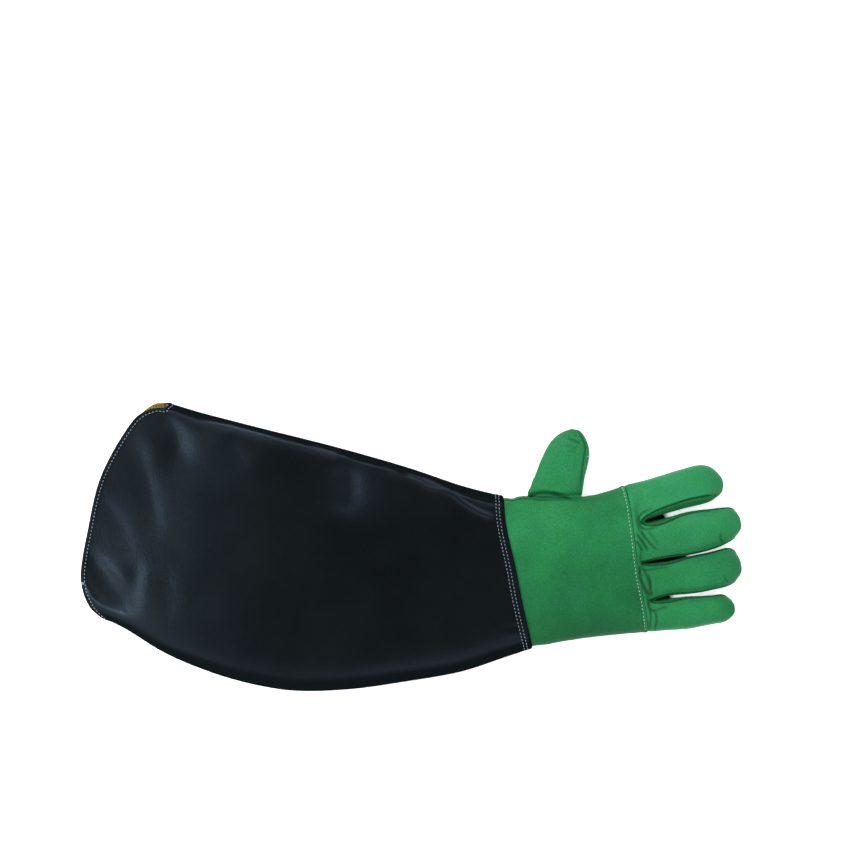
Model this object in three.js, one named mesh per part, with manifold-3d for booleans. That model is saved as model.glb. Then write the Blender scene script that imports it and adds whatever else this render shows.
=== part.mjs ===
// Animal handling glove, right hand, lying back of the hand up.
// A long black coated sleeve, open at the mouth, is sewn over a green leather hand.
// Millimetres, +Z up. +X runs from the mouth to the fingertips, the thumb points to +Y.

import * as THREE from 'three';
import { mergeVertices } from 'three/addons/utils/BufferGeometryUtils.js';
import Module from 'manifold-3d';

const wasm = await Module();
wasm.setup();

// Driving dimensions

const SLEEVE_WALL = 1.3;
const LINING_WALL = 1.0;
const LEATHER_WALL = 1.4;
const SEAM_GAP = 0.3;
const LAYER_GAP = 0.3;
// A sharp corner of a seam draws back this many times as far as its edges, at most.
const MITRE_LIMIT = 3;

// The leather runs this share of the sleeve's length inside the sleeve's edge.
const CUFF_LAP = 0.035;
const LINING_END = 0.05;
const SLEEVE_ROWS = 19;

// Columns across one face of the glove: five for each finger.
const FINGERS_ACROSS = 4;
const COLUMNS_PER_FINGER = 5;
const COLUMNS = FINGERS_ACROSS * COLUMNS_PER_FINGER;

// Plan outlines, [x, y] in the order that the names give.
const MOUTH_EDGE = [
  [-222, 143.3], [-234.8, 142], [-249.3, 131], [-263.9, 111], [-278.5, 84.6], [-285.7, 65.5],
  [-293, 32.8], [-300.3, -18], [-293, -41.9], [-285.7, -50.1], [-277.6, -54.6],
];
const CUFF_EDGE = [[83.4, 58.2], [85.2, 34], [94.5, -8.7], [99.5, -35], [109.9, -80.1]];
const STRAIGHT_SIDE = [
  [-222, 143.3], [-183.8, 132], [-125.6, 117.4], [-65.5, 101.9], [-10.9, 86.5], [43.7, 68.3], [83.4, 58.2],
];
const CURVED_SIDE = [
  [-277.6, -54.6], [-256.6, -64.6], [-227.5, -82.8], [-198.4, -96.5], [-140.1, -113.8], [-96.5, -119.2],
  [-29.1, -113.8], [43.7, -101.9], [83, -89.5], [109.9, -80.1],
];
const KNUCKLE_SEAM = [[193.2, 68], [197, 53], [201.4, 22.1], [206, -14.5], [210.8, -38.9], [214.8, -65.2]];
const INDEX_SIDE = [[83.4, 57], [105, 57.3], [130, 57.4], [154, 58.2], [175, 61.8], [193.2, 68]];
const LITTLE_SIDE = [[109.9, -78.8], [141, -73.8], [172.8, -69.3], [214.8, -65.2]];

// Height of the sleeve's top layer along it, from mouth (0) to cuff (1).
const SLEEVE_HEIGHTS = table(['along', 'height'], [
  [0, 26],
  [0.08, 31],
  [0.25, 38],
  [0.5, 38],
  [0.75, 33],
  [0.93, 28],
  [1, 26],
]);
const EDGE_SHARE = 0.42;

// How square the section is on each side of the sleeve and of the hand, and where the flat underside ends.
const STRAIGHT_SECTION = { roundness: 8, flatTo: 0.9 };
const CURVED_SECTION = { roundness: 4, flatTo: 0.8 };
const HAND_SECTION = { roundness: 5, flatTo: 0.8 };

// The under layer at the mouth lies this high, on the flange of the eyelet.
const MOUTH_LIFT = 1;
const LIFT_FROM = 0.35;
const LIFT_FULL = 0.25;

// At the straight corner of the mouth the top layer is shorter, so that the lining shows.
const CORNER_SETBACK = { depth: 5, span: 0.15, reach: 0.03, peak: 0.286 };

// Soft ridges (+) and dents (-) in the sleeve's top layer.
const SLEEVE_FOLDS = table(['x0', 'y0', 'x1', 'y1', 'width', 'rise'], [
  [-210, 119, -203, 83, 13, 2.6],
  [-241, 101, -227, 29, 14, 2.2],
  [-281, 61, -257, 32, 12, 1.8],
  [-288, 5, -254, -29, 13, 2.4],
  [-254, -29, -254, -52, 12, 1.8],
  [-228, 112, -216, 60, 12, -1.6],
  [-262, 70, -243, 20, 13, -1.8],
  [-37, 86, 37, 60, 12, 1.8],
  [37, 60, 73, 39, 10, 1.6],
  [-66, 75, -48, 50, 20, -1.6],
]);

// Rows of the hand from the cuff to the knuckle seam, as shares of that length.
const HAND_ROWS = [0.108, 0.207, 0.319, 0.431, 0.543, 0.655, 0.825, 1];
const HAND_HEIGHTS = table(['along', 'height'], [
  [0, 24.5],
  [0.3, 26.5],
  [0.7, 28],
  [1, 27],
]);
const HAND_EDGE_HEIGHT = 12;
const KNUCKLE_VALLEY = 0.8;

// The palm's leather wraps over the index side from the cuff to the middle of the thumb.
const SIDE_WRAP = { position: 0.957, lastRow: 6 };

// The thumb hole in the palm runs along the index side: rows of the hand, and columns in from the side.
const THUMB_HOLE = { firstRow: 3, lastRow: 7, columns: 3 };

// Each finger: where its axis starts, its heading, and its outline as distances to each side of the axis.
// The last two columns say how far round the section, in degrees, the fourchettes reach on the back.
const FINGER_COLUMNS = ['along', 'upper', 'lower', 'upperEdge', 'lowerEdge'];
const FINGERS = [
  {
    root: [196.6, 51], heading: 11.5,
    sections: table(FINGER_COLUMNS, [
      [22, 18.3, 16.4, 0, 48], [38, 19.6, 14.8, 0, 54], [54, 21.2, 14, 0, 58], [68, 22, 13.6, 0, 56],
      [78, 19.2, 11, 0, 48], [85, 12.4, 7.5, 0, 28], [88.7, 6, 2.5, 0, 0],
    ]),
  },
  {
    root: [202.9, 16.4], heading: 9.9,
    sections: table(FINGER_COLUMNS, [
      [24, 16.3, 20.2, 44, 26], [42, 17.8, 20.3, 26, 18], [58, 18.4, 19.4, 18, 14], [74, 17.2, 17.2, 14, 12],
      [86, 16.2, 14, 12, 10], [94, 12.9, 8.6, 8, 8], [98, 5, 4, 0, 0],
    ]),
  },
  {
    root: [208.4, -19.1], heading: 7.9,
    sections: table(FINGER_COLUMNS, [
      [20, 16, 16.8, 38, 24], [38, 16.2, 16.8, 24, 16], [54, 16.6, 16.9, 16, 12], [70, 17.4, 16.2, 12, 12],
      [81, 18.3, 13.7, 10, 10], [88.5, 13.5, 8.5, 8, 8], [92.3, 5, 4, 0, 0],
    ]),
  },
  {
    root: [212, -51], heading: 4.7,
    sections: table(FINGER_COLUMNS, [
      [22, 14.7, 14.5, 42, 0], [36, 14.4, 14.7, 24, 0], [50, 13.5, 13.2, 16, 0], [62, 13.4, 12, 12, 0],
      [71, 13.2, 11.2, 10, 0], [78, 8.6, 7.5, 8, 0], [82, 3, 3.5, 0, 0],
    ]),
  },
];
const FINGER_HEIGHTS = table(['top', 'under'], [
  [24.5, 0], [24, 0], [23.5, 0], [22.5, 0], [20, 0.8], [15.5, 3.4], [9.5, 9.5],
]);

// The webs between the fingers: the end of each slit, and how far behind it the seam turns on the back.
const WEBS = table(['x', 'y', 'back'], [[212, 35.1, 4.2], [210.3, -2.3, 2.2], [221.4, -36.4, 4.8]]);
const WEB_SEAM = { backHeight: 20, height: 11, front: 5, frontHeight: 3.5 };

// How far round the section the fourchettes reach on the palm side, in degrees for each section.
const FOURCHETTE_FRONTS = [34, 34, 34, 30, 22, 12, 0];
const SECTION_POWER = 0.82;
const UNDERSIDE_FULLNESS = 1.3;

const THUMB = {
  root: [130.1, 45.5], heading: 76.8,
  sections: table(['along', 'upper', 'lower', 'top', 'under'], [
    [19, 25.4, 21.2, 15.2, 0], [24, 24.9, 20.8, 17.4, 0], [30, 24.3, 20.4, 18.8, 0], [38, 23.3, 19.8, 19.8, 0],
    [50, 21.3, 19.7, 20.3, 0], [60, 18, 17.8, 19.3, 0.5], [68, 12.5, 13.6, 16.3, 2.4], [73, 6.5, 9.2, 12.6, 5.4],
    [75.7, 2, 5, 9, 9],
  ]),
};
const THUMB_CORNER_ANGLE = 25;

const EYELET = {
  x: -223.7, y: 118.9, hole: 3.65, barrel: 4.1, cut: 4.4, flange: 7.4, flangeThickness: 0.7,
  washer: 7, washerThickness: 0.7, rolled: 5.6, rolledThickness: 0.6, sides: 20,
};

const COLOURS = {
  sleeve: 0x1b2024, lining: 0x8a7a20, leather: 0x2f8a50, brass: 0xc8b428,
};

// Small helpers

function table(columns, rows) {
  return rows.map((row) => Object.fromEntries(columns.map((name, i) => [name, row[i]])));
}

function mix(a, b, share) {
  return a + (b - a) * share;
}

function smoothstep(from, to, value) {
  const s = Math.min(1, Math.max(0, (value - from) / (to - from)));
  return s * s * (3 - 2 * s);
}

function along(rows, column, value) {
  const last = rows.length - 1;
  let i = 0;
  while (i < last - 1 && value > rows[i + 1].along) i += 1;
  const share = (value - rows[i].along) / (rows[i + 1].along - rows[i].along);
  const eased = share * share * (3 - 2 * share);
  return mix(rows[i][column], rows[i + 1][column], eased);
}

function planCurve(points) {
  const path = points.map(([x, y]) => new THREE.Vector3(x, y, 0));
  return new THREE.CatmullRomCurve3(path, false, 'centripetal');
}

// A patch between four outline curves: lengthwise shares u, crosswise shares w.
function coonsPatch(start, end, sideA, sideB) {
  const corners = [start.getPointAt(0), start.getPointAt(1), end.getPointAt(0), end.getPointAt(1)];
  return (u, w) => {
    const point = new THREE.Vector3();
    point.addScaledVector(sideA.getPointAt(u), 1 - w);
    point.addScaledVector(sideB.getPointAt(u), w);
    point.addScaledVector(start.getPointAt(w), 1 - u);
    point.addScaledVector(end.getPointAt(w), u);
    point.addScaledVector(corners[0], -(1 - u) * (1 - w));
    point.addScaledVector(corners[1], -(1 - u) * w);
    point.addScaledVector(corners[2], -u * (1 - w));
    point.addScaledVector(corners[3], -u * w);
    return point;
  };
}

function distanceToSegment(x, y, fold) {
  const dx = fold.x1 - fold.x0;
  const dy = fold.y1 - fold.y0;
  const share = ((x - fold.x0) * dx + (y - fold.y0) * dy) / (dx * dx + dy * dy);
  const s = Math.min(1, Math.max(0, share));
  return Math.hypot(x - fold.x0 - s * dx, y - fold.y0 - s * dy);
}

// Position across the glove for each column: +1 at the index side, -1 at the little finger's side.
// The columns are closer together near the sides, where the section turns.
function columnPosition(column) {
  const half = COLUMNS / 2;
  const mirrored = column > half;
  const j = mirrored ? COLUMNS - column : column;
  const outer = COLUMNS_PER_FINGER;
  const position = j <= outer
    ? 0.5 + 0.5 * Math.cos((Math.PI / 2) * (j / outer))
    : 0.5 * (half - j) / (half - outer);
  return mirrored ? -position : position;
}

// Height of a section at position t across it.
function sectionHeight(t, top, edge, shape, upper) {
  const k = Math.abs(t);
  if (upper) {
    return edge + (top - edge) * Math.sqrt(Math.max(0, 1 - k ** shape.roundness));
  }
  const turn = Math.max(0, (k - shape.flatTo) / (1 - shape.flatTo));
  return edge * (1 - Math.sqrt(Math.max(0, 1 - turn * turn)));
}

// A skin is a set of outer points and faces, each face named for the piece that it belongs to.
function newSkin() {
  return { points: [], faces: [] };
}

function addPoint(skin, point) {
  skin.points.push(point);
  return skin.points.length - 1;
}

function addFace(skin, piece, corners) {
  const kept = corners.filter((corner, i) => corner !== corners[(i + 1) % corners.length]);
  if (new Set(kept).size > 2) skin.faces.push({ piece, corners: kept });
}

function faceNormal(skin, corners) {
  const normal = new THREE.Vector3();
  corners.forEach((corner, i) => {
    const a = skin.points[corner];
    const b = skin.points[corners[(i + 1) % corners.length]];
    normal.add(new THREE.Vector3().crossVectors(a, b));
  });
  return normal;
}

function skinNormals(skin) {
  const normals = skin.points.map(() => new THREE.Vector3());
  skin.faces.forEach(({ corners }) => {
    const normal = faceNormal(skin, corners).normalize();
    corners.forEach((corner) => normals[corner].add(normal));
  });
  normals.forEach((normal) => normal.normalize());
  return normals;
}

// How far a rim corner moves in for a gap of one: a mitre between the two edges that meet there.
function mitre(before, corner, after, normal) {
  const inward = (from, to) => new THREE.Vector3().crossVectors(normal, to.clone().sub(from)).normalize();
  const first = inward(before, corner);
  const second = inward(corner, after);
  const sum = first.clone().add(second).divideScalar(Math.max(0.3, 1 + first.dot(second)));
  return sum.clampLength(0, MITRE_LIMIT);
}

// One piece of a skin as a closed wall: its outer face, an inner face and a rim round each edge.
// Its edges draw back by the edge gap, and inset moves the whole wall inwards.
function wallOf(skin, normals, piece, wall, inset = 0, edgeGap = SEAM_GAP / 2) {
  const faces = skin.faces.filter((face) => face.piece === piece);
  const directed = new Set();
  faces.forEach(({ corners }) => corners.forEach((corner, i) => {
    directed.add(`${corner} ${corners[(i + 1) % corners.length]}`);
  }));
  const rim = [];
  directed.forEach((edge) => {
    const [a, b] = edge.split(' ').map(Number);
    if (!directed.has(`${b} ${a}`)) rim.push([a, b]);
  });
  const rimBefore = new Map(rim.map(([a, b]) => [b, a]));
  const rimAfter = new Map(rim);
  const outer = new Map();
  const inner = new Map();
  new Set(faces.flatMap((face) => face.corners)).forEach((corner) => {
    const normal = normals[corner];
    const point = skin.points[corner].clone();
    if (rimAfter.has(corner)) {
      const before = skin.points[rimBefore.get(corner)];
      const after = skin.points[rimAfter.get(corner)];
      point.addScaledVector(mitre(before, skin.points[corner], after, normal), edgeGap);
    }
    point.addScaledVector(normal, -inset);
    point.z = Math.max(point.z, 0);
    outer.set(corner, point);
    inner.set(corner, point.clone().addScaledVector(normal, -wall));
  });
  const positions = [];
  const addTriangle = (a, b, c) => positions.push(...a.toArray(), ...b.toArray(), ...c.toArray());
  faces.forEach(({ corners }) => {
    const order = [...corners];
    if (order.length === 4) {
      const [a, b, c, d] = order.map((corner) => outer.get(corner));
      if (b.distanceTo(d) < a.distanceTo(c)) order.push(order.shift());
    }
    for (let i = 1; i < order.length - 1; i += 1) {
      const triangle = [order[0], order[i], order[i + 1]];
      const [a, b, c] = triangle.map((corner) => outer.get(corner));
      const [p, q, r] = triangle.map((corner) => inner.get(corner));
      addTriangle(a, b, c);
      addTriangle(p, r, q);
    }
  });
  // Two pieces that meet at a seam split its rim along the same diagonal.
  rim.forEach(([a, b]) => {
    const [aOut, bOut, aIn, bIn] = [outer.get(a), outer.get(b), inner.get(a), inner.get(b)];
    if (a < b) {
      addTriangle(bOut, aOut, bIn);
      addTriangle(aOut, aIn, bIn);
    } else {
      addTriangle(bOut, aOut, aIn);
      addTriangle(bOut, aIn, bIn);
    }
  });
  const geometry = new THREE.BufferGeometry();
  geometry.setAttribute('position', new THREE.Float32BufferAttribute(positions, 3));
  return mergeVertices(geometry, 1e-4);
}

// Sleeve

const sleevePlan = coonsPatch(
  planCurve(MOUTH_EDGE), planCurve(CUFF_EDGE), planCurve(STRAIGHT_SIDE), planCurve(CURVED_SIDE),
);

function foldRelief(x, y) {
  return SLEEVE_FOLDS.reduce((sum, fold) => {
    const distance = distanceToSegment(x, y, fold) / fold.width;
    return sum + fold.rise * Math.exp(-distance * distance);
  }, 0);
}

function sleevePoint(u, t, upper) {
  const across = (1 - t) / 2;
  const point = sleevePlan(u, across);
  const shape = t > 0 ? STRAIGHT_SECTION : CURVED_SECTION;
  const top = along(SLEEVE_HEIGHTS, 'height', u);
  const lift = MOUTH_LIFT * smoothstep(LIFT_FROM, LIFT_FULL, u);
  const edge = EDGE_SHARE * top;
  point.z = sectionHeight(t, top, edge, shape, upper);
  if (upper) {
    const nearSide = 1 - t ** 8;
    point.z += foldRelief(point.x, point.y) * nearSide;
    const corner = Math.min(1, across / CORNER_SETBACK.span);
    const fullness = Math.sqrt(corner) * (1 - corner) ** 2 / CORNER_SETBACK.peak;
    const setback = CORNER_SETBACK.depth * fullness * Math.exp(-u / CORNER_SETBACK.reach);
    point.add(new THREE.Vector3(0.6, -0.8, 0).multiplyScalar(setback));
  } else {
    point.z = Math.max(point.z, lift);
  }
  return point;
}

const sleeveShares = Array.from({ length: SLEEVE_ROWS + 1 }, (_, i) => (1 - LINING_END) * i / SLEEVE_ROWS);
const LINING_LAST_ROW = SLEEVE_ROWS;
const LAP_ROW = SLEEVE_ROWS + 1;
const CUFF_ROW = SLEEVE_ROWS + 2;
sleeveShares.push(1 - CUFF_LAP, 1);

// Point numbers of one ring: the top layer from the index side across, then the under layer back.
function ringIndex(row, column, upper) {
  const around = upper || column === 0 || column === COLUMNS ? column : 2 * COLUMNS - column;
  return row * 2 * COLUMNS + around;
}

function sleeveSkin() {
  const skin = newSkin();
  sleeveShares.forEach((u) => {
    for (let around = 0; around < 2 * COLUMNS; around += 1) {
      const upper = around <= COLUMNS;
      const column = upper ? around : 2 * COLUMNS - around;
      addPoint(skin, sleevePoint(u, columnPosition(column), upper));
    }
  });
  for (let row = 0; row < CUFF_ROW; row += 1) {
    for (let around = 0; around < 2 * COLUMNS; around += 1) {
      const next = (around + 1) % (2 * COLUMNS);
      const a = row * 2 * COLUMNS + around;
      const b = row * 2 * COLUMNS + next;
      const c = (row + 1) * 2 * COLUMNS + next;
      const d = (row + 1) * 2 * COLUMNS + around;
      addFace(skin, row < LINING_LAST_ROW ? 'lined' : 'lap', [a, b, c, d]);
    }
  }
  return skin;
}

const sleeve = sleeveSkin();
const sleeveNormals = skinNormals(sleeve);

// Hand and fingers, one skin with its faces shared out among the leather pieces

const handPlan = coonsPatch(
  planCurve(CUFF_EDGE), planCurve(KNUCKLE_SEAM), planCurve(INDEX_SIDE), planCurve(LITTLE_SIDE),
);

function handPoint(v, t, upper) {
  const point = handPlan(v, (1 - t) / 2);
  const top = along(HAND_HEIGHTS, 'height', v);
  point.z = sectionHeight(t, top, HAND_EDGE_HEIGHT, HAND_SECTION, upper);
  if (upper) {
    const betweenFingers = 0.5 - 0.5 * Math.cos(4 * Math.PI * (t + 0.25));
    point.z -= KNUCKLE_VALLEY * v ** 4 * betweenFingers;
  }
  return point;
}

function fingerFrame(finger) {
  const angle = THREE.MathUtils.degToRad(finger.heading);
  return {
    root: new THREE.Vector3(...finger.root, 0),
    axis: new THREE.Vector3(Math.cos(angle), Math.sin(angle), 0),
    left: new THREE.Vector3(-Math.sin(angle), Math.cos(angle), 0),
  };
}

function signedPower(value, power) {
  return Math.sign(value) * Math.abs(value) ** power;
}

// A point of a rounded section: angle 0 at the upper side of the plan, 90 at the top.
function sectionPoint(frame, section, degrees) {
  const angle = THREE.MathUtils.degToRad(degrees);
  const middle = (section.upper - section.lower) / 2;
  const halfWidth = (section.upper + section.lower) / 2;
  const halfHeight = (section.top - section.under) / 2;
  const sine = signedPower(Math.sin(angle), SECTION_POWER);
  const fullness = sine < 0 && section.under < 1 ? UNDERSIDE_FULLNESS : 1;
  const height = (section.top + section.under) / 2 + halfHeight * sine * fullness;
  return frame.root.clone()
    .addScaledVector(frame.axis, section.along)
    .addScaledVector(frame.left, middle + halfWidth * signedPower(Math.cos(angle), SECTION_POWER))
    .setZ(Math.max(section.under, height));
}

const hand = newSkin();
const KNUCKLE_ROW = HAND_ROWS.length + 1;
const YOKE_ROWS = 2;
const handRows = [];

function addHandRow(pointAt) {
  const row = { back: [], front: [] };
  for (let column = 0; column <= COLUMNS; column += 1) {
    row.back.push(addPoint(hand, pointAt(column, true)));
    const atSide = column === 0 || column === COLUMNS;
    row.front.push(atSide ? row.back[column] : addPoint(hand, pointAt(column, false)));
  }
  handRows.push(row);
}

[LAP_ROW, CUFF_ROW].forEach((sleeveRow) => addHandRow((column, upper) => {
  const index = ringIndex(sleeveRow, column, upper);
  return sleeve.points[index].clone().addScaledVector(sleeveNormals[index], -(SLEEVE_WALL + LAYER_GAP));
}));
HAND_ROWS.forEach((v) => addHandRow((column, upper) => {
  const position = column === 1 ? SIDE_WRAP.position : columnPosition(column);
  return handPoint(v, position, upper);
}));

function inThumbHole(row, column) {
  return row >= THUMB_HOLE.firstRow && row < THUMB_HOLE.lastRow && column < THUMB_HOLE.columns;
}

for (let row = 0; row < KNUCKLE_ROW; row += 1) {
  const near = handRows[row];
  const far = handRows[row + 1];
  for (let j = 0; j < COLUMNS; j += 1) {
    const wrapped = row < SIDE_WRAP.lastRow && j === 0;
    const upperPiece = wrapped ? 'hand_palm' : 'hand_back';
    addFace(hand, upperPiece, [near.back[j], near.back[j + 1], far.back[j + 1], far.back[j]]);
    if (!inThumbHole(row, j)) {
      addFace(hand, 'hand_palm', [near.front[j], far.front[j], far.front[j + 1], near.front[j + 1]]);
    }
  }
}

// The seams and the fold of each web, shared by the two fingers beside it.
const websBuilt = WEBS.map((web, i) => {
  const knuckle = handRows[KNUCKLE_ROW];
  const column = (i + 1) * COLUMNS_PER_FINGER;
  const frame = fingerFrame(FINGERS[i]);
  const end = new THREE.Vector3(web.x, web.y, WEB_SEAM.height);
  const back = end.clone().addScaledVector(frame.axis, -web.back).setZ(WEB_SEAM.backHeight);
  const backKnuckle = hand.points[knuckle.back[column]];
  const frontKnuckle = hand.points[knuckle.front[column]];
  const toEnd = end.clone().sub(frontKnuckle).setZ(0);
  const front = frontKnuckle.clone().addScaledVector(toEnd.normalize(), WEB_SEAM.front).setZ(WEB_SEAM.frontHeight);
  return {
    fold: addPoint(hand, end),
    back: [
      knuckle.back[column],
      addPoint(hand, backKnuckle.clone().lerp(back, 0.5)),
      addPoint(hand, back),
    ],
    front: [
      knuckle.front[column],
      addPoint(hand, frontKnuckle.clone().lerp(front, 0.5)),
      addPoint(hand, front),
    ],
  };
});

// Rows between the knuckle seam and a finger's first full section follow the edges at each side.
function yokeRow(r, first, last, edges) {
  const share = r / (YOKE_ROWS + 1);
  return first.map((start, j) => {
    if (j === 0 && edges[0] !== null) return edges[0];
    if (j === first.length - 1 && edges[1] !== null) return edges[1];
    const point = hand.points[start].clone().lerp(hand.points[last[j]], share);
    [[0, 1 - j / (first.length - 1)], [first.length - 1, j / (first.length - 1)]].forEach(([k, nearness], side) => {
      if (edges[side] === null) return;
      const straight = hand.points[first[k]].clone().lerp(hand.points[last[k]], share);
      point.addScaledVector(hand.points[edges[side]].clone().sub(straight), nearness ** 2);
    });
    return addPoint(hand, point);
  });
}

FINGERS.forEach((finger, f) => {
  const frame = fingerFrame(finger);
  const webs = [websBuilt[f - 1] ?? null, websBuilt[f] ?? null];
  const webNames = ['index_middle', 'middle_ring', 'ring_little'];
  const firstColumn = f * COLUMNS_PER_FINGER;
  const slice = (row) => row.slice(firstColumn, firstColumn + COLUMNS_PER_FINGER + 1);
  const back = [slice(handRows[KNUCKLE_ROW].back)];
  const front = [slice(handRows[KNUCKLE_ROW].front)];
  const folds = [[], []];
  const fullRows = finger.sections.map((section, i) => {
    const shape = { ...section, ...FINGER_HEIGHTS[i] };
    const atTip = i === finger.sections.length - 1;
    const backEdges = [section.upperEdge, section.lowerEdge];
    const frontEdges = webs.map((web) => (web ? FOURCHETTE_FRONTS[i] : 0));
    const backRow = [];
    const frontRow = [];
    for (let j = 0; j <= COLUMNS_PER_FINGER; j += 1) {
      const share = j / COLUMNS_PER_FINGER;
      const backAngle = mix(backEdges[0], 180 - backEdges[1], share);
      const frontAngle = mix(frontEdges[0], 180 - frontEdges[1], share);
      backRow.push(addPoint(hand, sectionPoint(frame, shape, backAngle)));
      const side = j === 0 ? 0 : 1;
      const meets = atTip || ((j === 0 || j === COLUMNS_PER_FINGER) && webs[side] === null);
      frontRow.push(meets ? backRow[j] : addPoint(hand, sectionPoint(frame, shape, -frontAngle)));
    }
    const foldPoints = webs.map((web, side) => {
      if (web === null) return null;
      if (atTip) return backRow[side * COLUMNS_PER_FINGER];
      return addPoint(hand, sectionPoint(frame, shape, side * 180));
    });
    return { backRow, frontRow, foldPoints };
  });
  for (let r = 1; r <= YOKE_ROWS; r += 1) {
    const backEdges = webs.map((web) => (web ? web.back[r] : null));
    const frontEdges = webs.map((web) => (web ? web.front[r] : null));
    const backRow = yokeRow(r, back[0], fullRows[0].backRow, backEdges);
    webs.forEach((web, side) => {
      if (web === null) frontEdges[side] = backRow[side * COLUMNS_PER_FINGER];
    });
    back.push(backRow);
    front.push(yokeRow(r, front[0], fullRows[0].frontRow, frontEdges));
  }
  fullRows.forEach((row) => {
    back.push(row.backRow);
    front.push(row.frontRow);
  });
  webs.forEach((web, side) => {
    if (web === null) return;
    folds[side] = [web.fold, ...fullRows.map((row) => row.foldPoints[side])];
  });
  for (let r = 0; r < back.length - 1; r += 1) {
    for (let j = 0; j < COLUMNS_PER_FINGER; j += 1) {
      addFace(hand, 'finger_backs', [back[r][j], back[r][j + 1], back[r + 1][j + 1], back[r + 1][j]]);
      addFace(hand, 'finger_fronts', [front[r][j], front[r + 1][j], front[r + 1][j + 1], front[r][j + 1]]);
    }
  }
  webs.forEach((web, side) => {
    if (web === null) return;
    const piece = `fourchette_${webNames[f - 1 + side]}`;
    const j = side * COLUMNS_PER_FINGER;
    for (let r = YOKE_ROWS; r < back.length - 1; r += 1) {
      const fold = folds[side][r - YOKE_ROWS];
      const nextFold = folds[side][r - YOKE_ROWS + 1];
      const upper = [back[r][j], fold, nextFold, back[r + 1][j]];
      const lower = [fold, front[r][j], front[r + 1][j], nextFold];
      addFace(hand, piece, side === 1 ? upper : upper.reverse());
      addFace(hand, piece, side === 1 ? lower : lower.reverse());
    }
  });
});

// Thumb: a tube that grows from the hole beside the index side

function thumbRoot() {
  const { firstRow, lastRow, columns } = THUMB_HOLE;
  const ring = [];
  for (let row = firstRow; row <= lastRow; row += 1) ring.push(handRows[row].back[0]);
  for (let j = 1; j < columns; j += 1) ring.push(handRows[lastRow].front[j]);
  for (let row = lastRow; row >= firstRow; row -= 1) ring.push(handRows[row].front[columns]);
  for (let j = columns - 1; j > 0; j -= 1) ring.push(handRows[firstRow].front[j]);
  return ring;
}

function thumbAngles() {
  const { firstRow, lastRow, columns } = THUMB_HOLE;
  const steps = lastRow - firstRow;
  const corner = THUMB_CORNER_ANGLE;
  const angles = [];
  for (let i = 0; i <= steps; i += 1) angles.push(mix(corner, 180 - corner, i / steps));
  for (let i = 1; i < columns; i += 1) angles.push(mix(180 - corner, 180 + corner, i / columns));
  for (let i = 0; i <= steps; i += 1) angles.push(mix(180 + corner, 360 - corner, i / steps));
  for (let i = 1; i < columns; i += 1) angles.push(mix(360 - corner, 360 + corner, i / columns));
  return angles;
}

const thumbFrame = fingerFrame(THUMB);
const thumbRings = [thumbRoot()];
const thumbTurn = thumbAngles();
THUMB.sections.slice(0, -1).forEach((section) => {
  thumbRings.push(thumbTurn.map((angle) => addPoint(hand, sectionPoint(thumbFrame, section, angle))));
});

// The tip closes on a short seam: points above and below it are the same.
const tipSection = THUMB.sections.at(-1);
const tipSteps = THUMB_HOLE.lastRow - THUMB_HOLE.firstRow;
const tipSeam = [];
for (let i = 0; i <= tipSteps; i += 1) {
  tipSeam.push(addPoint(hand, sectionPoint(thumbFrame, tipSection, thumbTurn[i])));
}
const tipRight = Array(THUMB_HOLE.columns - 1).fill(tipSeam[tipSteps]);
const tipLeft = Array(THUMB_HOLE.columns - 1).fill(tipSeam[0]);
thumbRings.push([...tipSeam, ...tipRight, ...[...tipSeam].reverse(), ...tipLeft]);
for (let r = 0; r < thumbRings.length - 1; r += 1) {
  const near = thumbRings[r];
  const far = thumbRings[r + 1];
  near.forEach((point, i) => {
    const next = (i + 1) % near.length;
    addFace(hand, 'thumb', [point, near[next], far[next], far[i]]);
  });
}

const handNormals = skinNormals(hand);

// Eyelet: the layers are cut through, a flanged barrel goes in from below and a washer closes it above

function toManifold(geometry) {
  const plain = geometry.clone();
  plain.deleteAttribute('normal');
  plain.deleteAttribute('uv');
  const merged = mergeVertices(plain, 1e-4);
  return new wasm.Manifold(new wasm.Mesh({
    numProp: 3,
    vertProperties: new Float32Array(merged.attributes.position.array),
    triVerts: new Uint32Array(merged.index.array),
  }));
}

function fromManifold(solid) {
  const mesh = solid.getMesh();
  const geometry = new THREE.BufferGeometry();
  geometry.setAttribute('position', new THREE.BufferAttribute(mesh.vertProperties, 3));
  geometry.setIndex(new THREE.BufferAttribute(mesh.triVerts, 1));
  return geometry;
}

function punched(geometry) {
  const height = 10;
  const punch = new THREE.CylinderGeometry(EYELET.cut, EYELET.cut, height, EYELET.sides);
  punch.rotateX(Math.PI / 2);
  punch.translate(EYELET.x, EYELET.y, 0);
  return fromManifold(toManifold(geometry).subtract(toManifold(punch)));
}

function ringOf(profile) {
  const closed = [...profile, profile[0]].map(([radius, height]) => new THREE.Vector2(radius, height));
  const geometry = new THREE.LatheGeometry(closed, EYELET.sides);
  geometry.rotateX(Math.PI / 2);
  geometry.translate(EYELET.x, EYELET.y, 0);
  return geometry;
}

const liningTop = MOUTH_LIFT + SLEEVE_WALL + LAYER_GAP + LINING_WALL;
const washerFloor = liningTop + LAYER_GAP;
const rolledFloor = washerFloor + EYELET.washerThickness + LAYER_GAP;

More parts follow.
